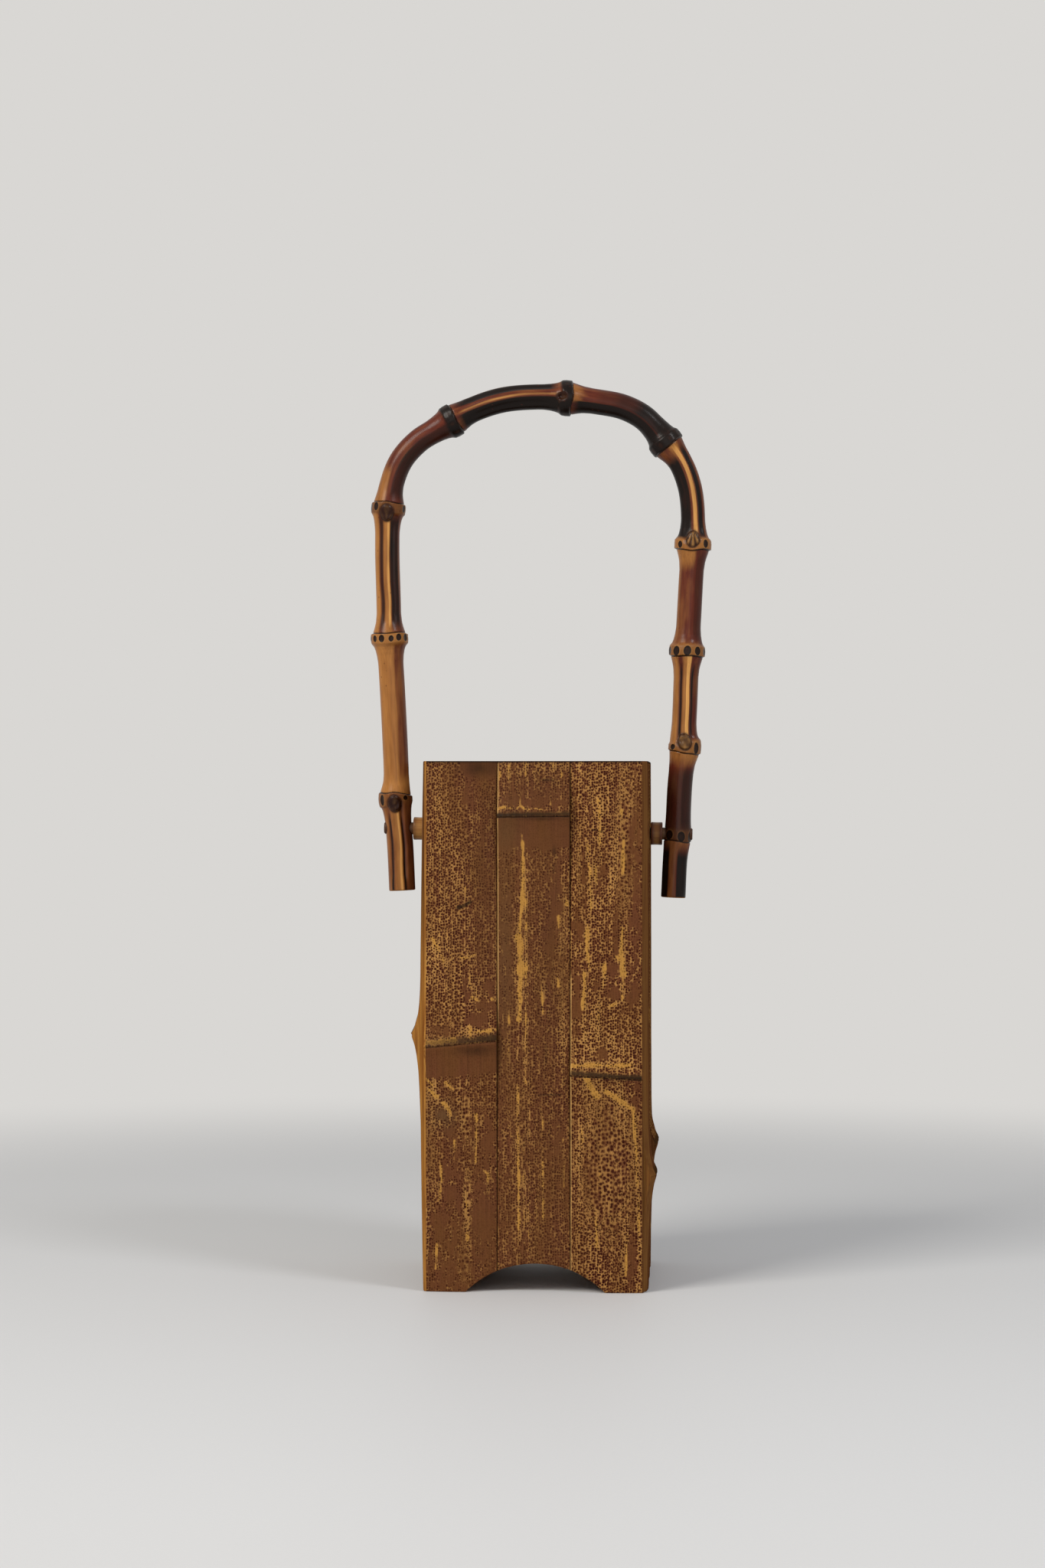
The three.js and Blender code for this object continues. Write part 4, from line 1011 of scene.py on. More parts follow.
courseStops = [
    (-0.981, -0.9, 0, 1.05), (-0.997, -0.2), (-1.021, 0.055), (-1.03, 0.072, 0.94, 1.01),
    (-1.024, 0.115), (-1.032, 0.2), (-1.053, 0.33), (-1.073, 0.442, 1.03, 0.98), (-1.08, 0.53),
    (-1.089, 0.65), (-1.081, 0.742, 0.95, 0.97), (-1.052, 0.806), (-0.984, 0.858), (-0.865, 0.9),
    (-0.742, 0.925), (-0.631, 0.945, 0.95, 1.01), (-0.48, 0.971), (-0.27, 0.993), (-0.03, 1),
    (0.194, 0.997, 0.99, 1.01), (0.42, 0.988), (0.6, 0.976), (0.74, 0.953), (0.832, 0.924),
    (0.905, 0.894, 0.98, 0.96), (1.01, 0.848), (1.07, 0.8), (1.096, 0.752), (1.1, 0.66, 1.02, 0.98),
    (1.085, 0.57), (1.07, 0.48), (1.059, 0.415, 1, 0.99), (1.045, 0.3), (1.036, 0.22),
    (1.042, 0.195, 0.91, 0.99), (1.022, 0.152), (1.006, 0.1), (0.995, 0.02),
    (0.992, -0.06, 0.77, 0.98), (0.974, -0.4), (0.96, -1),
]
nodeProfile = [(-1, 0), (-0.67, 0.13), (-0.5, 0.3), (-0.32, 0.52), (-0.24, 0.64), (-0.2, 0.96),
               (0, 1), (0.15, 0.92), (0.27, 0.52), (0.4, 0.32), (0.6, 0.14), (0.85, 0.02), (1, 0)]

# Nodes from the left foot on. Roots: how many stand round the ring, where the first
# is, in degrees from the front towards the outer side, and the size of a scar. Soot
# says how black the ring is. Buds face front and back by turns
handleNodes = [
    {"roots": (8, 47, 2.6, 3.6), "honey": 0.45, "soot": 0.18, "bud": "dark"},
    {"roots": (13, 19, 2.6, 3.1), "honey": 0.8, "soot": 0.1, "bud": "ribbed"},
    {"roots": (10, 40, 2.5, 3.4), "honey": 0.5, "soot": 0.35, "bud": "dark"},
    {"roots": (10, 20, 2.6, 3.6), "honey": 0.1, "soot": 0.9, "bud": "dark"},
    {"roots": (9, 50, 2.6, 3.6), "honey": 0.15, "soot": 0.9, "bud": "broken"},
    {"roots": (9, 18, 3.0, 3.6), "honey": 0.15, "soot": 0.85, "bud": "pale"},
    {"roots": (8, 45, 2.9, 3.8), "honey": 0.75, "soot": 0.12, "bud": "ribbed"},
    {"roots": (10, 0, 3.3, 4.2), "honey": 0.7, "soot": 0.25, "bud": "dark"},
    {"roots": (8, 44, 2.6, 3.6), "honey": 0.65, "soot": 0.2, "bud": "pale"},
    {"roots": (7, 15, 3.4, 4.2), "honey": 0.2, "soot": 0.45, "bud": "dark"},
]

# Stretches between the scars, from the left foot on. A band is painted between two
# angles, in degrees from the front towards the outer side, over a share of the
# stretch. Grooves are cut at an angle, with a half width in degrees and a depth
roundBack = [("honey", 110, 250, 0, 1, 0.4), ("char", 200, 250, 0.1, 0.9, 0.35)]
groovedBack = [("char", 136, 168, 0.1, 0.92, 0.85), ("gild", 171, 187, 0.05, 1, 0.8),
               ("char", 191, 224, 0.1, 0.92, 0.9)]
backCuts = [(152, 14, 0.7), (207, 14, 0.7)]
stretches = [
    {"honey": 0.25, "grooves": [(35, 9, 0.75), (-25, 8, 0.8)], "bands": roundBack + [
        ("honey", 44, 110, 0, 1, 0.5), ("honey", 2, 24, 0, 1, 0.6), ("honey", -17, 8, 0, 1, 0.82),
        ("gild", -14, -3, 0, 0.9, 0.85), ("char", 29, 41, 0, 0.78, 0.88),
        ("char", -29, -19, 0, 0.75, 0.9)]},
    {"honey": 0.22, "grooves": backCuts, "bands": groovedBack + [
        ("honey", -19, 120, 0, 1, 0.8), ("honey", -180, 180, 0, 0.1, 0.88),
        ("honey", -8, 20, 0.1, 0.8, 0.66), ("honey", -180, 180, 0.95, 1, 0.7)]},
    {"honey": 0.15, "grooves": [(24, 9, 0.6), (-34, 12, 0.9)], "bands": roundBack + [
        ("honey", 37, 100, 0, 1, 0.98), ("honey", -16, 14, 0, 1, 0.72),
        ("char", 14, 33, 0.03, 0.9, 0.68), ("gild", -17, -4, 0.04, 0.95, 0.66),
        ("char", -64, -19, 0.05, 0.9, 0.8), ("honey", -110, -64, 0, 1, 0.2)]},
    {"honey": 0.04, "grooves": backCuts, "bands": groovedBack + [
        ("honey", 12, 120, 0, 0.34, 0.66), ("honey", 5, 100, 0.28, 0.55, 0.16),
        ("char", -130, -6, 0.04, 1, 0.66), ("honey", 20, 80, 0.92, 1, 0.25)]},
    {"honey": 0.12, "grooves": [(44, 16, 0.7), (-34, 20, 0.7)], "bands": roundBack + [
        ("char", 30, 76, 0.05, 0.86, 0.9), ("char", -100, -4, 0.03, 0.92, 0.97),
        ("gild", 1, 14, 0.05, 0.98, 0.46), ("honey", 40, 80, 0.88, 1, 0.45),
        ("honey", -14, 24, 0.91, 1, 0.6)]},
    {"honey": 0.02, "grooves": backCuts, "bands": groovedBack + [
        ("honey", -18, 60, 0, 0.12, 0.55), ("honey", -15, 70, 0.1, 0.3, 0.06),
        ("char", -10, 120, 0.22, 1, 0.34), ("char", -10, 120, 0.4, 1, 0.6),
        ("char", -10, 120, 0.58, 0.95, 0.84), ("char", -180, -12, 0.03, 1, 0.9),
        ("honey", 40, 120, 0.92, 1, 0.3)]},
    {"honey": 0.15, "grooves": [(-36, 22, 0.6), (40, 11, 0.8)], "bands": roundBack + [
        ("char", -100, -8, 0.12, 0.93, 0.86), ("gild", 0, 22, 0.02, 1, 0.64),
        ("char", 28, 54, 0.07, 0.9, 0.93), ("honey", -110, -42, 0.78, 1, 0.8),
        ("honey", -8, 30, 0, 0.1, 0.7), ("honey", 55, 120, 0.92, 1, 0.5)]},
    {"honey": 0.03, "grooves": backCuts, "bands": groovedBack + [
        ("honey", -110, -50, 0, 1, 0.46), ("honey", -50, -10, 0, 1, 0.1),
        ("char", 22, 120, 0.04, 0.86, 0.42), ("honey", -120, 12, 0, 0.16, 0.82),
        ("honey", -70, 60, 0.9, 1, 0.72)]},
    {"honey": 0.12, "grooves": [(-26, 8, 0.65), (35, 10, 0.75)], "bands": roundBack + [
        ("honey", -120, -36, 0, 1, 0.85), ("honey", -14, 6, 0, 1, 0.78),
        ("char", -31, -17, 0.1, 0.86, 0.82), ("gild", 1, 18, 0, 1, 0.9),
        ("char", 25, 41, 0.1, 0.86, 0.85), ("char", 41, 110, 0.05, 0.9, 0.25)]},
    {"honey": 0.1, "grooves": backCuts, "bands": groovedBack + [
        ("honey", -180, 180, 0, 0.12, 0.7), ("char", -180, 180, 0.2, 1, 0.5),
        ("char", 12, 130, 0.2, 0.86, 0.72), ("honey", -60, 5, 0.9, 1, 0.25)]},
    {"honey": 0.1, "grooves": [(-54, 20, 0.6), (36, 22, 0.6)], "bands": roundBack + [
        ("char", -120, -30, 0.14, 1, 0.9), ("honey", -28, 4, 0, 1, 0.3),
        ("char", 10, 130, 0.18, 1, 0.9), ("honey", -60, 60, 0, 0.1, 0.3)]},
]
bandSoftness = {"honey": 8.0, "gild": 3.5, "char": 4.5}  # degrees


# The smooth curve through the stops, with its length measured along the way
def handleCourse():
    stops = np.array([(across * legReach, up * (handle["tail"] if up < 0 else handle["rise"]))
                      for across, up, *_ in courseStops])
    ends = [2 * stops[0] - stops[1]], [2 * stops[-1] - stops[-2]]
    padded = np.concatenate([ends[0], stops, ends[1]])
    line = []
    for p0, p1, p2, p3 in zip(padded[:-3], padded[1:-2], padded[2:-1], padded[3:]):
        t0, t1, t2 = (max(np.linalg.norm(b - a), 1e-6) ** 0.5
                      for a, b in ((p0, p1), (p1, p2), (p2, p3)))
        start = ((p1 - p0) / t0 - (p2 - p0) / (t0 + t1) + (p2 - p1) / t1) * t1
        end = ((p2 - p1) / t1 - (p3 - p1) / (t1 + t2) + (p3 - p2) / t2) * t1
        for t in np.linspace(0, 1, 24, endpoint=False):
            line.append(p1 + start * t + (3 * (p2 - p1) - 2 * start - end) * t ** 2
                        + (2 * (p1 - p2) + start + end) * t ** 3)
    line.append(stops[-1])
    line = np.array(line)
    lengths = np.concatenate([[0], np.cumsum(np.linalg.norm(np.diff(line, axis=0), axis=1))])
    return line, lengths, lengths[::24]


courseLine, courseLengths, stopPlaces = handleCourse()
thickStops = [(place, *stop[2:]) for place, stop in zip(stopPlaces, courseStops) if stop[2:]]
for node, (place, size, _) in zip(handleNodes, thickStops[1:]):
    node["at"], node["size"] = place, size
culmStops = [(place, culm) for place, _, culm in thickStops]


def culmRadius(at):
    share = np.full_like(at, culmStops[0][1])
    for (place, after) in culmStops[1:]:
        ease = smoothStep(place - handle["reach"], place + handle["reach"], at)
        share = share + (after - share) * ease
    return share * handle["culm"] / 2


def nodeSwell(at, shift=0.0):
    swell = np.zeros_like(at)
    for node in handleNodes:
        grown = (node["at"] - at + shift) / handle["reach"]
        most = node["size"] * handle["node"] / 2 - culmRadius(np.array([node["at"]]))[0]
        swell = swell + most * np.interp(grown, *zip(*nodeProfile))
    return swell


# Where a leg lies along the pivot axis: its near face and its far face
def legFaces(side):
    at = np.linspace(0, courseLengths[-1], 2001)
    across = np.interp(at, courseLengths, courseLine[:, 0]) * side
    up = np.interp(at, courseLengths, courseLine[:, 1]) + side * math.tan(pivotTilt) * legReach
    radius = culmRadius(at) + nodeSwell(at)
    atSleeve = (across > 0) & (np.abs(up) < pivot["sleeve"] / 2)
    atPeg = (across > 0) & (np.abs(up) < pivot["peg"] / 2)
    return (across - radius)[atSleeve].min(), (across + radius)[atPeg].max()


# Degrees round the culm from a direction, the shorter way
def turnedFrom(centre, turns):
    return (turns - centre + 180) % 360 - 180


# Points stand closer together along the culm where a node's ring is
def handlePlaces(total):
    places = [np.arange(0, total, handle["step"]), [total]]
    for node in handleNodes:
        places.append(node["at"] + np.arange(*handle["fineReach"], handle["fineStep"]))
    at = np.unique(np.round(np.concatenate(places), 2))
    at = at[(at >= 0) & (at <= total)]
    at = at[np.concatenate([[True], np.diff(at) > handle["closest"]])]
    at[-1] = total
    return at


# Paints the bands of each stretch and cuts its grooves into the radius
def paintStretches(fields, radius, ats, turns, dip):
    total, along = courseLengths[-1], ats + dip
    wanderMost, wanderCell = handle["wander"]
    wander = wanderMost * (softNoise(ats, turns * 0, wanderCell, 3) - 0.5)
    edges = [0] + [node["at"] + handle["scar"] for node in handleNodes] + [total]
    for stretch, low, high in zip(stretches, edges[:-1], edges[1:]):
        inside = ((along >= low) | (low == 0)) & ((along < high) | (high == total))
        share = (ats - low) / (high - low)
        soft = handle["edgeSoftness"] / (high - low)
        painted = {"honey": np.full(ats.shape, stretch["honey"]),
                   "gild": np.zeros(ats.shape), "char": np.zeros(ats.shape)}
        for name, first, last, start, end, amount in stretch["bands"]:
            half = (last - first) / 2
            away = np.abs(turnedFrom((first + last) / 2, turns) + wander * (half < 60)) - half
            soften = min(bandSoftness[name], half)
            weight = smoothStep(soften, -soften, away) if half < 175 else np.ones(ats.shape)
            weight = weight * smoothStep(start - soft, start + soft, share + (start == 0))
            weight = weight * smoothStep(end + soft, end - soft, share - (end == 1))
            # gold and soot take each other's place
            if name != "honey":
                other = {"char": "gild", "gild": "char"}[name]
                painted[other] = painted[other] * (1 - weight)
            painted[name] = painted[name] * (1 - weight) + amount * weight
        for centre, half, depth in stretch["grooves"]:
            cut = bell(turnedFrom(centre, turns) + wander, half)
            cut = cut * smoothStep(0.04, 0.2, share) * smoothStep(0.98, 0.8, share)
            radius -= depth * cut * inside
        for name, values in painted.items():
            fields[name] = np.where(inside, values, fields[name])


# The ring of a node, with the scar of its sheath, its root scars and its bud
def paintNode(node, index, fields, radius, ats, turns, dip):
    front = 0 if index % 2 == 0 else 180
    grown = node["at"] - ats - dip
    ring = smoothStep(-2.75, -2.45, grown) * smoothStep(3.4, 1.6, grown)
    for name, level in (("honey", node["honey"]), ("char", node["soot"]), ("gild", 0)):
        fields[name] = fields[name] * (1 - ring) + level * ring
    scarAway = np.abs(grown + handle["scar"] + 0.1) * 1.1
    fields["scarAway"] = np.minimum(fields["scarAway"], scarAway)
    radius -= handle["scarDepth"] * bell(grown + handle["scar"] + 0.15, handle["scarWidth"])
    ringRadius = node["size"] * handle["node"] / 2
    count, first, wide, tall = node["roots"]
    deep, spared = handle["rootPit"]
    for k in range(count):
        centre = first + 360 / count * k
        if abs(turnedFrom(front, centre)) < handle["rootless"]:
            continue
        sway = math.sin(k * 2.4 + index)
        size = 1 + 0.12 * math.sin(k * 5.1 + index)
        side = np.radians(turnedFrom(centre + 1.5 * sway, turns)) * ringRadius / (wide / 2 * size)
        away = np.hypot(side, (grown + 0.35 + 0.15 * sway) / (tall / 2 * size))
        fields["rootAway"] = np.minimum(fields["rootAway"], away)
        radius += handle["rootRim"] * (1 - node["soot"]) * bell(away - 1.1, 0.28)
        radius -= (deep - spared * node["soot"]) * smoothStep(1.0, 0.5, away)
    # the bud sits above the scar, over the ring
    across = np.radians(turnedFrom(front, turns)) * ringRadius
    broken, ribbed = node["bud"] == "broken", node["bud"] == "ribbed"
    wide, tall = handle["stubRadius" if broken else "budRadius"]
    span = np.hypot(across / wide, (grown - handle["budAbove"]) / tall)
    body = smoothStep(1.0, 0.86, span)
    outline = bell(span - 1.0, 0.18)
    fan = np.arctan2(across, 7.0 - grown)
    rib = 0.5 + 0.5 * np.cos(fan * handle["fineBudRibs" if ribbed else "budRibs"])
    mottle = softNoise(across, grown, 1.1, 5 + index)
    tone = {"ribbed": 1.1 * rib ** 1.6, "dark": 0.25 * mottle * rib,
            "pale": 0.15 + 0.85 * mottle * (0.5 + 0.5 * rib), "broken": 0.1 * mottle}[node["bud"]]
    if broken:
        radius -= handle["stubDepth"] * smoothStep(1.0, 0.3, span)
    else:
        # its lower half stands off the slope of the ring, which is filled up behind it
        slope = 0.9 - np.interp(grown / handle["reach"], *zip(*nodeProfile))
        fill = np.clip((ringRadius - culmRadius(ats)) * slope, 0, None)
        radius += fill * smoothStep(1.25, 0.75, span) * 0.5
        radius += handle["bud"] * smoothStep(1.0, 0.8, span) * (0.85 + 0.15 * rib)
        radius -= 0.2 * smoothStep(0.75, 0.25, span) * (not ribbed)
        radius -= 0.28 * outline + (0.14 * (1 - rib) + 0.12 * mottle) * body
    fields["bud"] = np.maximum(fields["bud"], np.maximum(body, outline))
    fields["budRib"] = np.where(span < 1.25, tone * (1 - outline), fields["budRib"])


def makeHandle():
    total, sides = courseLengths[-1], handle["sides"]
    at = handlePlaces(total)
    angle = 2 * np.pi * np.arange(sides) / sides
    # degrees from the front towards the outer side
    turned = (270 - np.degrees(angle) + 180) % 360 - 180
    ats, turns = np.meshgrid(at, turned, indexing="ij")
    fields = {name: np.zeros(ats.shape) for name in ("honey", "gild", "char", "bud", "budRib")}
    fields.update({name: np.full(ats.shape, 9.0) for name in ("rootAway", "scarAway")})
    dip = np.zeros(ats.shape)
    deepest, spread, reach = handle["dip"]
    for index, node in enumerate(handleNodes):
        closeness = bell(ats - node["at"], reach)
        dip -= deepest * bell(turnedFrom(0 if index % 2 == 0 else 180, turns), spread) * closeness
        dip += handle["wave"] * np.sin(np.radians(turns) * 3 + index) * closeness
    radius = culmRadius(ats) + nodeSwell(ats, -dip) - handle["inset"]
    paintStretches(fields, radius, ats, turns, dip)
    for index, node in enumerate(handleNodes):
        paintNode(node, index, fields, radius, ats, turns, dip)
    radius += 0.08 * (softNoise(np.radians(turns) * 6, ats * 0.06, 1.4, 23) - 0.5)

    centre = np.stack([np.interp(at, courseLengths, courseLine[:, 0]), np.zeros(len(at)),
                       np.interp(at, courseLengths, courseLine[:, 1])], 1)
    before, after = np.clip(at - 0.6, 0, total), np.clip(at + 0.6, 0, total)
    run = np.stack([np.interp(after, courseLengths, courseLine[:, k])
                    - np.interp(before, courseLengths, courseLine[:, k]) for k in (0, 1)], 1)
    run /= np.linalg.norm(run, axis=1)[:, None]
    sideways = np.stack([run[:, 1], np.zeros(len(at)), -run[:, 0]], 1)
    ring = (centre[:, None] + sideways[:, None] * (radius * np.cos(angle))[..., None]
            + np.array([0, 1, 0]) * (radius * np.sin(angle))[..., None])
    points = ring.reshape(-1, 3) + (0, 0, pivotHeight)
    faces = ringFaces(len(at), sides)
    slots = [0] * len(faces)
    # sawn ends with a small chamfer
    for end, outward in ((0, -1), (len(at) - 1, 1)):
        rim = points[end * sides:(end + 1) * sides].copy()
        middle = centre[end] + (0, 0, pivotHeight)
        way = np.array([run[end][0], 0, run[end][1]]) * outward
        points[end * sides:(end + 1) * sides] -= way * handle["endChamfer"]
        rows = [middle + (rim - middle) * share - way * recess
                for share, recess in handle["endRings"]]
        starts = [end * sides] + [len(points) + sides * k for k in range(len(rows))]
        points = np.concatenate([points] + rows + [[middle - way * handle["endHollow"]]])
        edges = [(i, (i + 1) % sides) for i in range(sides)]
        caps = [(a + i, a + j, b + j, b + i) for a, b in zip(starts[:-1], starts[1:])
                for i, j in edges]
        caps += [(starts[-1] + i, starts[-1] + j, len(points) - 1) for i, j in edges]
        faces += [cap if outward > 0 else cap[::-1] for cap in caps]
        slots += [1] * len(caps)
    piece = newPiece("rhizome_handle", points, faces, [rhizomePolish, sawnWood], slots, 50)
    extra = len(points) - ats.size
    values = {name: np.concatenate([field.ravel(), np.zeros(extra)])
              for name, field in fields.items()}
    place = np.stack([np.cos(angle) * radius, np.sin(angle) * radius, ats], 2).reshape(-1, 3)
    values["rhizomePlace"] = np.concatenate([place, np.zeros((extra, 3))])
    values["stain"] = np.concatenate([np.zeros(ats.size), np.full(extra, handle["endStain"])])
    paintPiece(piece, **values)
    cutter = pivotDrill(pivot["peg"] / 2 + pivot["gap"])
    drill(piece, cutter)
    bpy.data.objects.remove(cutter)
    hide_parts("handle")
    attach(piece, "handle")


rhizomePolish = rhizomeSkin()
makeHandle()
print("the rhizome handle is made")

# Small bamboo and cedar pieces share one kind of finish: fibres drawn out along the
# piece, darker bundles between them, and a plain gloss for its skin or its cut wood
woodLooks = {
    "sleeve": {"title": "bamboo twig, left with its skin", "light": "b98741", "dark": "8b582c",
               "vein": "50280f", "fibre": 2.2, "pitch": 1.6, "veins": 0.35,
               "roughness": 0.38, "grain": 0.03},
    "peg": {"title": "split bamboo, shaved round", "light": "a9763c", "dark": "6e4524",
            "vein": "3f2413", "fibre": 2.6, "pitch": 0.6, "veins": 0.6,
            "roughness": 0.5, "grain": 0.05},
    "cedar": {"title": "cedar, planed", "light": "a9713f", "dark": "7b4a26",
              "vein": "5f351a", "fibre": 0.9, "pitch": 2.6, "veins": 0.5,
              "roughness": 0.6, "grain": 0.08},
    "tubeSkin": {"title": "bamboo culm, dried in its skin", "light": "b69a58", "dark": "8e7336",
                 "vein": "6d5329", "fibre": 1.1, "pitch": 3.0, "veins": 0.25,
                 "roughness": 0.4, "grain": 0.03},
    "tubeWood": {"title": "bamboo culm, sawn and hollow", "light": "c4a166", "dark": "94703c",
                 "vein": "6b4a26", "fibre": 2.0, "pitch": 0.8, "veins": 0.55,
                 "roughness": 0.62, "grain": 0.06},
}
woodSpecular = 0.25


def fibredWood(look):
    material, tree = newMaterial(look["title"])
    place = addNode(tree, "Attribute", attribute_name="fibrePlace").outputs["Vector"]
    fibre = drawnTexture(tree, "TexNoise", place, (look["fibre"], 0.05, look["fibre"]),
                         {"Detail": 4.0})
    cloud = drawnTexture(tree, "TexNoise", place, (0.2, 0.025, 0.2), {"Detail": 2.0})
    bundle = drawnTexture(tree, "TexVoronoi", place, (1 / look["pitch"], 0.03, 1 / look["pitch"]), {})
    vein = addNode(tree, "MapRange", (bundle, 0.5, 0.15, 0.0, look["veins"]),
                   interpolation_type="SMOOTHSTEP")
    blend = addNode(tree, "Math", (fibre, 0.6, cloud), operation="MULTIPLY_ADD")
    band = addNode(tree, "MapRange", (blend, 0.6, 1.0))
    # the stain darkens towards the vein colour; on the pegs this is painted shadow
    stain = addNode(tree, "Attribute", attribute_name="stain").outputs["Fac"]
    wood = look["dark"]
    for share, colour in ((band, "light"), (vein, "vein"), (stain, "vein")):
        wood = addNode(tree, "Mix", {0: share, 6: wood, 7: look[colour]}, data_type="RGBA")
    closeMaterial(tree, fibre, 0.5, look["grain"],
                  {"Base Color": wood, "Roughness": look["roughness"],
                   "Specular IOR Level": woodSpecular})
    return material


finishes = {name: fibredWood(look) for name, look in woodLooks.items()}


# Sets a turned form along the pivot axis, from one distance to another
def alongPivot(points, side, start):
    lengthwise = points[:, 2] + start
    placed = np.stack([lengthwise, points[:, 0], points[:, 1]], 1)
    if side == "left":
        placed[:, :2] *= -1
    place = np.array(pivotPlace)
    return placed @ place[:3, :3].T + place[:3, 3]


def roundPlace(points):
    angle = np.arctan2(points[:, 1], points[:, 0])
    radius = np.hypot(points[:, 0], points[:, 1])
    return np.stack([np.cos(angle) * radius, points[:, 2], np.sin(angle) * radius], 1)


# Sleeves: twig ends that keep the legs off the walls, sawn a little round at the rims.
# Pegs: split bamboo, through the leg, its sleeve and the wall
sleeves = {"round": 0.35, "waist": 0.08, "sides": 64, "rings": 8, "oval": 0.12, "slack": 0.02,
           "stain": {"left": 0.05, "right": 0.55}, "endStain": 0.7, "endReach": 2.4}
# the pegs are stained almost to the vein colour: painted shadow where a peg shows between the leg, its
# sleeve and the wall
pegs = {"chamfer": 0.5, "sides": 48, "rings": 30, "facet": 0.05, "facets": 11, "slack": 0.02,
        "inside": 0.2, "stain": 0.8}


def makeSleeve(sideName, legFace):
    start, end = skinAtPeg[sideName] + pivot["gap"], legFace - pivot["gap"]
    length, outer = end - start, pivot["sleeve"] / 2 - sleeves["slack"]
    inner, edge = pivot["peg"] / 2 + pivot["play"] + sleeves["slack"], sleeves["round"]
    profile = [(inner, 0), (outer - edge, 0), (outer - edge * 0.3, edge * 0.25), (outer, edge)]
    rings = sleeves["rings"]
    for k in range(1, rings):
        pinch = sleeves["waist"] * math.sin(math.pi * k / rings)
        profile.append((outer - pinch, edge + (length - 2 * edge) * k / rings))
    profile += [(outer, length - edge), (outer - edge * 0.3, length - edge * 0.25),
                (outer - edge, length), (inner, length), (inner, length / 2)]
    points, faces = turnedForm(profile, sleeves["sides"], looped=True)
    angle = np.arctan2(points[:, 1], points[:, 0])
    outside = points[:, :2] / np.hypot(points[:, 0], points[:, 1])[:, None]
    bulge = (np.hypot(points[:, 0], points[:, 1]) > inner + 0.3) * (np.sin(angle * 2 + 0.6) - 1)
    points[:, :2] += outside * (sleeves["oval"] * bulge)[:, None]
    slots = [1 if profile[f[0] // sleeves["sides"]][0] < outer - edge * 1.2 else 0 for f in faces]
    piece = newPiece(sideName + "_twig_sleeve", alongPivot(points, sideName, start), faces,
                     [finishes["sleeve"], finishes["peg"]], slots, 50)
    endAway = np.minimum(points[:, 2], length - points[:, 2])
    ends = sleeves["endStain"] * (1 - smoothStep(0, sleeves["endReach"], endAway))
    paintPiece(piece, fibrePlace=roundPlace(points),
               stain=np.clip(sleeves["stain"][sideName] + ends, 0, 1))
    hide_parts(sideName + "_sleeve")
    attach(piece, "box")


def makePeg(sideName, legFace):
    start = box["width"] / 2 - box["thickness"] - pegs["inside"]
    length = legFace + pivot["pegProud"] - start
    radius, edge = pivot["peg"] / 2 - pegs["slack"], pegs["chamfer"]
    rings = pegs["rings"]
    profile = [(0, 0), (radius * 0.5, 0), (radius - edge, 0), (radius, edge)]
    profile += [(radius, edge + (length - 2 * edge) * k / rings) for k in range(1, rings + 1)]
    profile += [(radius - edge, length), (radius * 0.5, length), (0, length)]
    points, faces = turnedForm(profile, pegs["sides"])
    angle = np.arctan2(points[:, 1], points[:, 0])
    # shaved with a knife, so the round is a little faceted
    shaved = 1 - pegs["facet"] / radius * (0.5 + 0.5 * np.cos(angle * pegs["facets"]))
    points[:, :2] *= shaved[:, None]
    piece = newPiece(sideName + "_bamboo_peg", alongPivot(points, sideName, start), faces,
                     [finishes["peg"]], sharpAngle=50)
    outer = smoothStep(length - 5, length - 1, points[:, 2])
    # painted shadow: dark all over, a little darker still towards the outer end
    paintPiece(piece, fibrePlace=roundPlace(points), stain=pegs["stain"] + 0.15 * outer)
    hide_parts(sideName + "_peg")
    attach(piece, "box")


for sideName, sign in (("right", 1), ("left", -1)):
    nearFace, farFace = legFaces(sign)
    makeSleeve(sideName, nearFace)
    makePeg(sideName, farFace)
print("sleeves and pegs are made")

# Floor board and cleats of planed cedar, with softened arrises and raised late wood
boards = {"round": 0.7, "row": 1.6, "column": 0.8, "slack": 0.03,
          "lateWood": 0.12, "lateWoodPitch": 3.4, "endReach": 4}


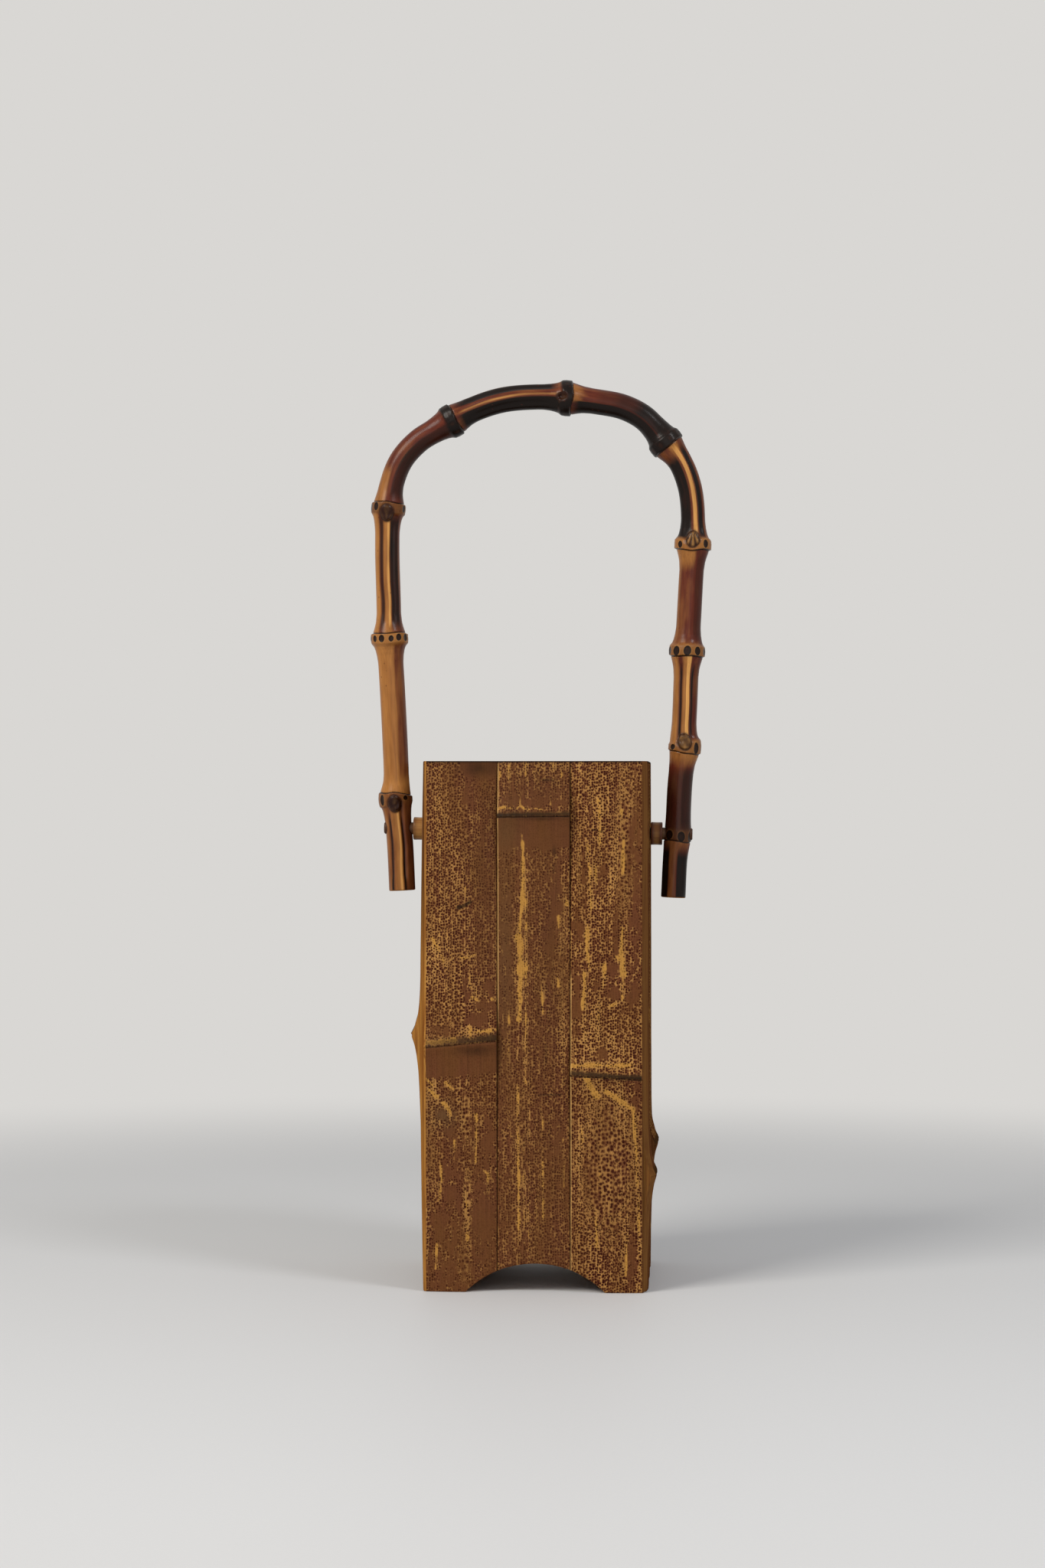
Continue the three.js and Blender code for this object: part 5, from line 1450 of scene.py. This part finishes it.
def makeBoard(node, name, alongY=False):
    low, high = (np.array(corner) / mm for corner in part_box(node))
    if alongY:
        low, high = low[[1, 0, 2]], high[[1, 0, 2]]
    low, high = low + boards["slack"], high - boards["slack"]
    edge = boards["round"]
    wide, tall = high[1] - low[1], high[2] - low[2]
    outline = []
    for middleX, middleY, first in ((wide - edge, edge, -90), (wide - edge, tall - edge, 0),
                                    (edge, tall - edge, 90), (edge, edge, 180)):
        for k in range(5):
            turn = math.radians(first + 22.5 * k)
            outline.append((middleX + edge * math.cos(turn), middleY + edge * math.sin(turn)))
    dense = []
    for (x0, y0), (x1, y1) in zip(outline, outline[1:] + outline[:1]):
        steps = max(1, int(round(math.hypot(x1 - x0, y1 - y0) / boards["column"])))
        dense += [(x0 + (x1 - x0) * k / steps, y0 + (y1 - y0) * k / steps) for k in range(steps)]
    dense = np.array(dense)
    middle = np.array([wide / 2, tall / 2])
    length = high[0] - low[0]
    rows = [(0, edge), (edge * 0.3, edge * 0.3), (edge, 0)]
    rows += [(x, 0) for x in np.arange(edge + boards["row"], length - edge - 0.5, boards["row"])]
    rows += [(length - edge, 0), (length - edge * 0.3, edge * 0.3), (length, edge)]
    points = []
    for x, shrink in rows:
        inward = np.clip(middle - dense, -1, 1) * shrink
        inward[:, 0] *= np.abs(dense[:, 0] - middle[0]) > middle[0] - edge * 2
        inward[:, 1] *= np.abs(dense[:, 1] - middle[1]) > middle[1] - edge * 2
        points.append(np.column_stack([np.full(len(dense), x), dense + inward]))
    points = np.concatenate(points)
    sway = 3 * softNoise(points[:, 0] * 0.3, points[:, 2], 9, 3)
    ridge = 0.5 + 0.5 * np.sin((points[:, 1] + sway) * 2 * math.pi / boards["lateWoodPitch"])
    onTop = smoothStep(tall - edge * 0.6, tall, points[:, 2])
    points[:, 2] -= boards["lateWood"] * ridge * onTop
    count = len(dense)
    faces = ringFaces(len(rows), count)
    last = (len(rows) - 1) * count
    for base in (0, last):
        points = np.concatenate([points, [points[base:base + count].mean(0)]])
        hub = len(points) - 1
        for i in range(count):
            corner = (base + i, base + (i + 1) % count, hub)
            faces.append(corner[::-1] if base == 0 else corner)
    placed = points + low
    if alongY:
        placed = placed[:, [1, 0, 2]]
        faces = [face[::-1] for face in faces]
    piece = newPiece(name, placed, faces, [finishes["cedar"]], sharpAngle=50)
    endAway = np.minimum(points[:, 0], length - points[:, 0])
    dark = 0.15 + 0.45 * (1 - smoothStep(0, boards["endReach"], endAway))
    paintPiece(piece, fibrePlace=points[:, [1, 0, 2]], stain=dark)
    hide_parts(node)
    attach(piece, "box")


makeBoard("floor_board", "cedar_floor")
for sideName in ("front", "back"):
    makeBoard(sideName + "_cleat", sideName + "_cedar_cleat")
for sideName in ("left", "right"):
    makeBoard(sideName + "_cleat", sideName + "_cedar_cleat", alongY=True)
print("floor board and cleats are made")

# Water tube: a culm sawn under one of its nodes, whose wall across is the bottom
waterTube = {
    "wall": 5.5, "height": 142.0, "swell": 1.5, "lift": 8.0, "bottom": 4.0, "sides": 144,
    "belowNode": 0.6, "aboveNode": 1.35, "waist": 0.55, "lipRound": 0.18,
    "slack": 0.05, "step": 3, "oval": 0.12, "nodeStain": 0.8, "wetStain": 0.55,
}


def makeWaterTube():
    low, high = (np.array(corner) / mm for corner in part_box("water_tube"))
    tube = waterTube
    slack = tube["slack"]
    widest = (high[0] - low[0]) / 2 - slack
    outer = widest - tube["swell"]
    inner = outer - tube["wall"]
    edge = tube["wall"] * tube["lipRound"]
    middle = tube["lift"] + tube["bottom"] / 2
    top = high[2] - low[2] - slack
    floorTop = tube["lift"] + tube["bottom"]
    corners = [(inner, slack), (outer - edge, slack), (outer, edge), (outer, middle * tube["belowNode"]),
               (outer + tube["swell"] * 0.8, middle - edge), (widest, middle - 0.3),
               (outer + 0.35, middle + 0.15), (widest - 0.35, middle + 0.6),
               (outer + tube["swell"] * 0.8, middle + edge * 1.6),
               (outer, middle * tube["aboveNode"] + tube["swell"]), (outer - 0.45, top * tube["waist"]),
               (outer, top - edge), (outer - edge * 0.4, top - edge * 0.2), (outer - edge, top),
               (inner + edge, top), (inner + edge * 0.3, top - edge * 0.3), (inner, top - edge),
               (inner, floorTop + tube["wall"]), (inner - 0.8, floorTop + 1.6),
               (inner - tube["wall"] / 2, floorTop + 0.4)]
    profile = [(0, tube["lift"]), (inner * 0.5, tube["lift"]), (inner * 0.95, tube["lift"]),
               (inner, tube["lift"] - 0.5)]
    for (r0, z0), (r1, z1) in zip(corners[:-1], corners[1:]):
        steps = max(1, int(math.hypot(r1 - r0, z1 - z0) / tube["step"]))
        profile += [(r0 + (r1 - r0) * k / steps, z0 + (z1 - z0) * k / steps) for k in range(steps)]
    profile += [corners[-1], (inner * 0.6, floorTop + 0.2), (inner * 0.25, floorTop - 0.25),
                (0, floorTop - 0.35)]
    points, faces = turnedForm(profile, tube["sides"])
    radius = np.hypot(points[:, 0], points[:, 1])
    angle = np.arctan2(points[:, 1], points[:, 0])
    # a culm is never quite round, and its bore less so
    bore = (radius > 1) & (radius < outer - edge * 1.5) & (points[:, 2] > tube["lift"] + 1)
    ripple = 0.25 * np.sin(angle * 3 + 0.7) + 0.15 * np.sin(angle * 5 + points[:, 2] * 0.02)
    outside = (radius > outer - edge * 1.5) * (np.sin(angle * 2 + 1.1) - 1) * tube["oval"]
    scale = 1 + (bore * (ripple - 0.4) + outside) / np.maximum(radius, 1)
    points[:, :2] *= scale[:, None]
    slots = [0 if radius[list(face)].min() > outer - edge * 0.9 else 1 for face in faces]
    piece = newPiece("bamboo_water_tube", points + (0, 0, low[2]), faces,
                     [finishes["tubeSkin"], finishes["tubeWood"]], slots, 50)
    atNode = bell(points[:, 2] - middle - 0.15, 0.7) * (radius > outer - 1)
    wet = smoothStep(tube["height"] * 0.5, 20, points[:, 2]) * (radius < outer - edge * 1.5)
    stain = tube["nodeStain"] * atNode + tube["wetStain"] * wet
    stain += 0.2 * softNoise(points[:, 0], points[:, 1], 5, 13)
    paintPiece(piece, fibrePlace=roundPlace(points), stain=np.clip(stain, 0, 1))
    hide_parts("water_tube")
    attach(piece, "water_tube")


makeWaterTube()
print("the water tube is made")
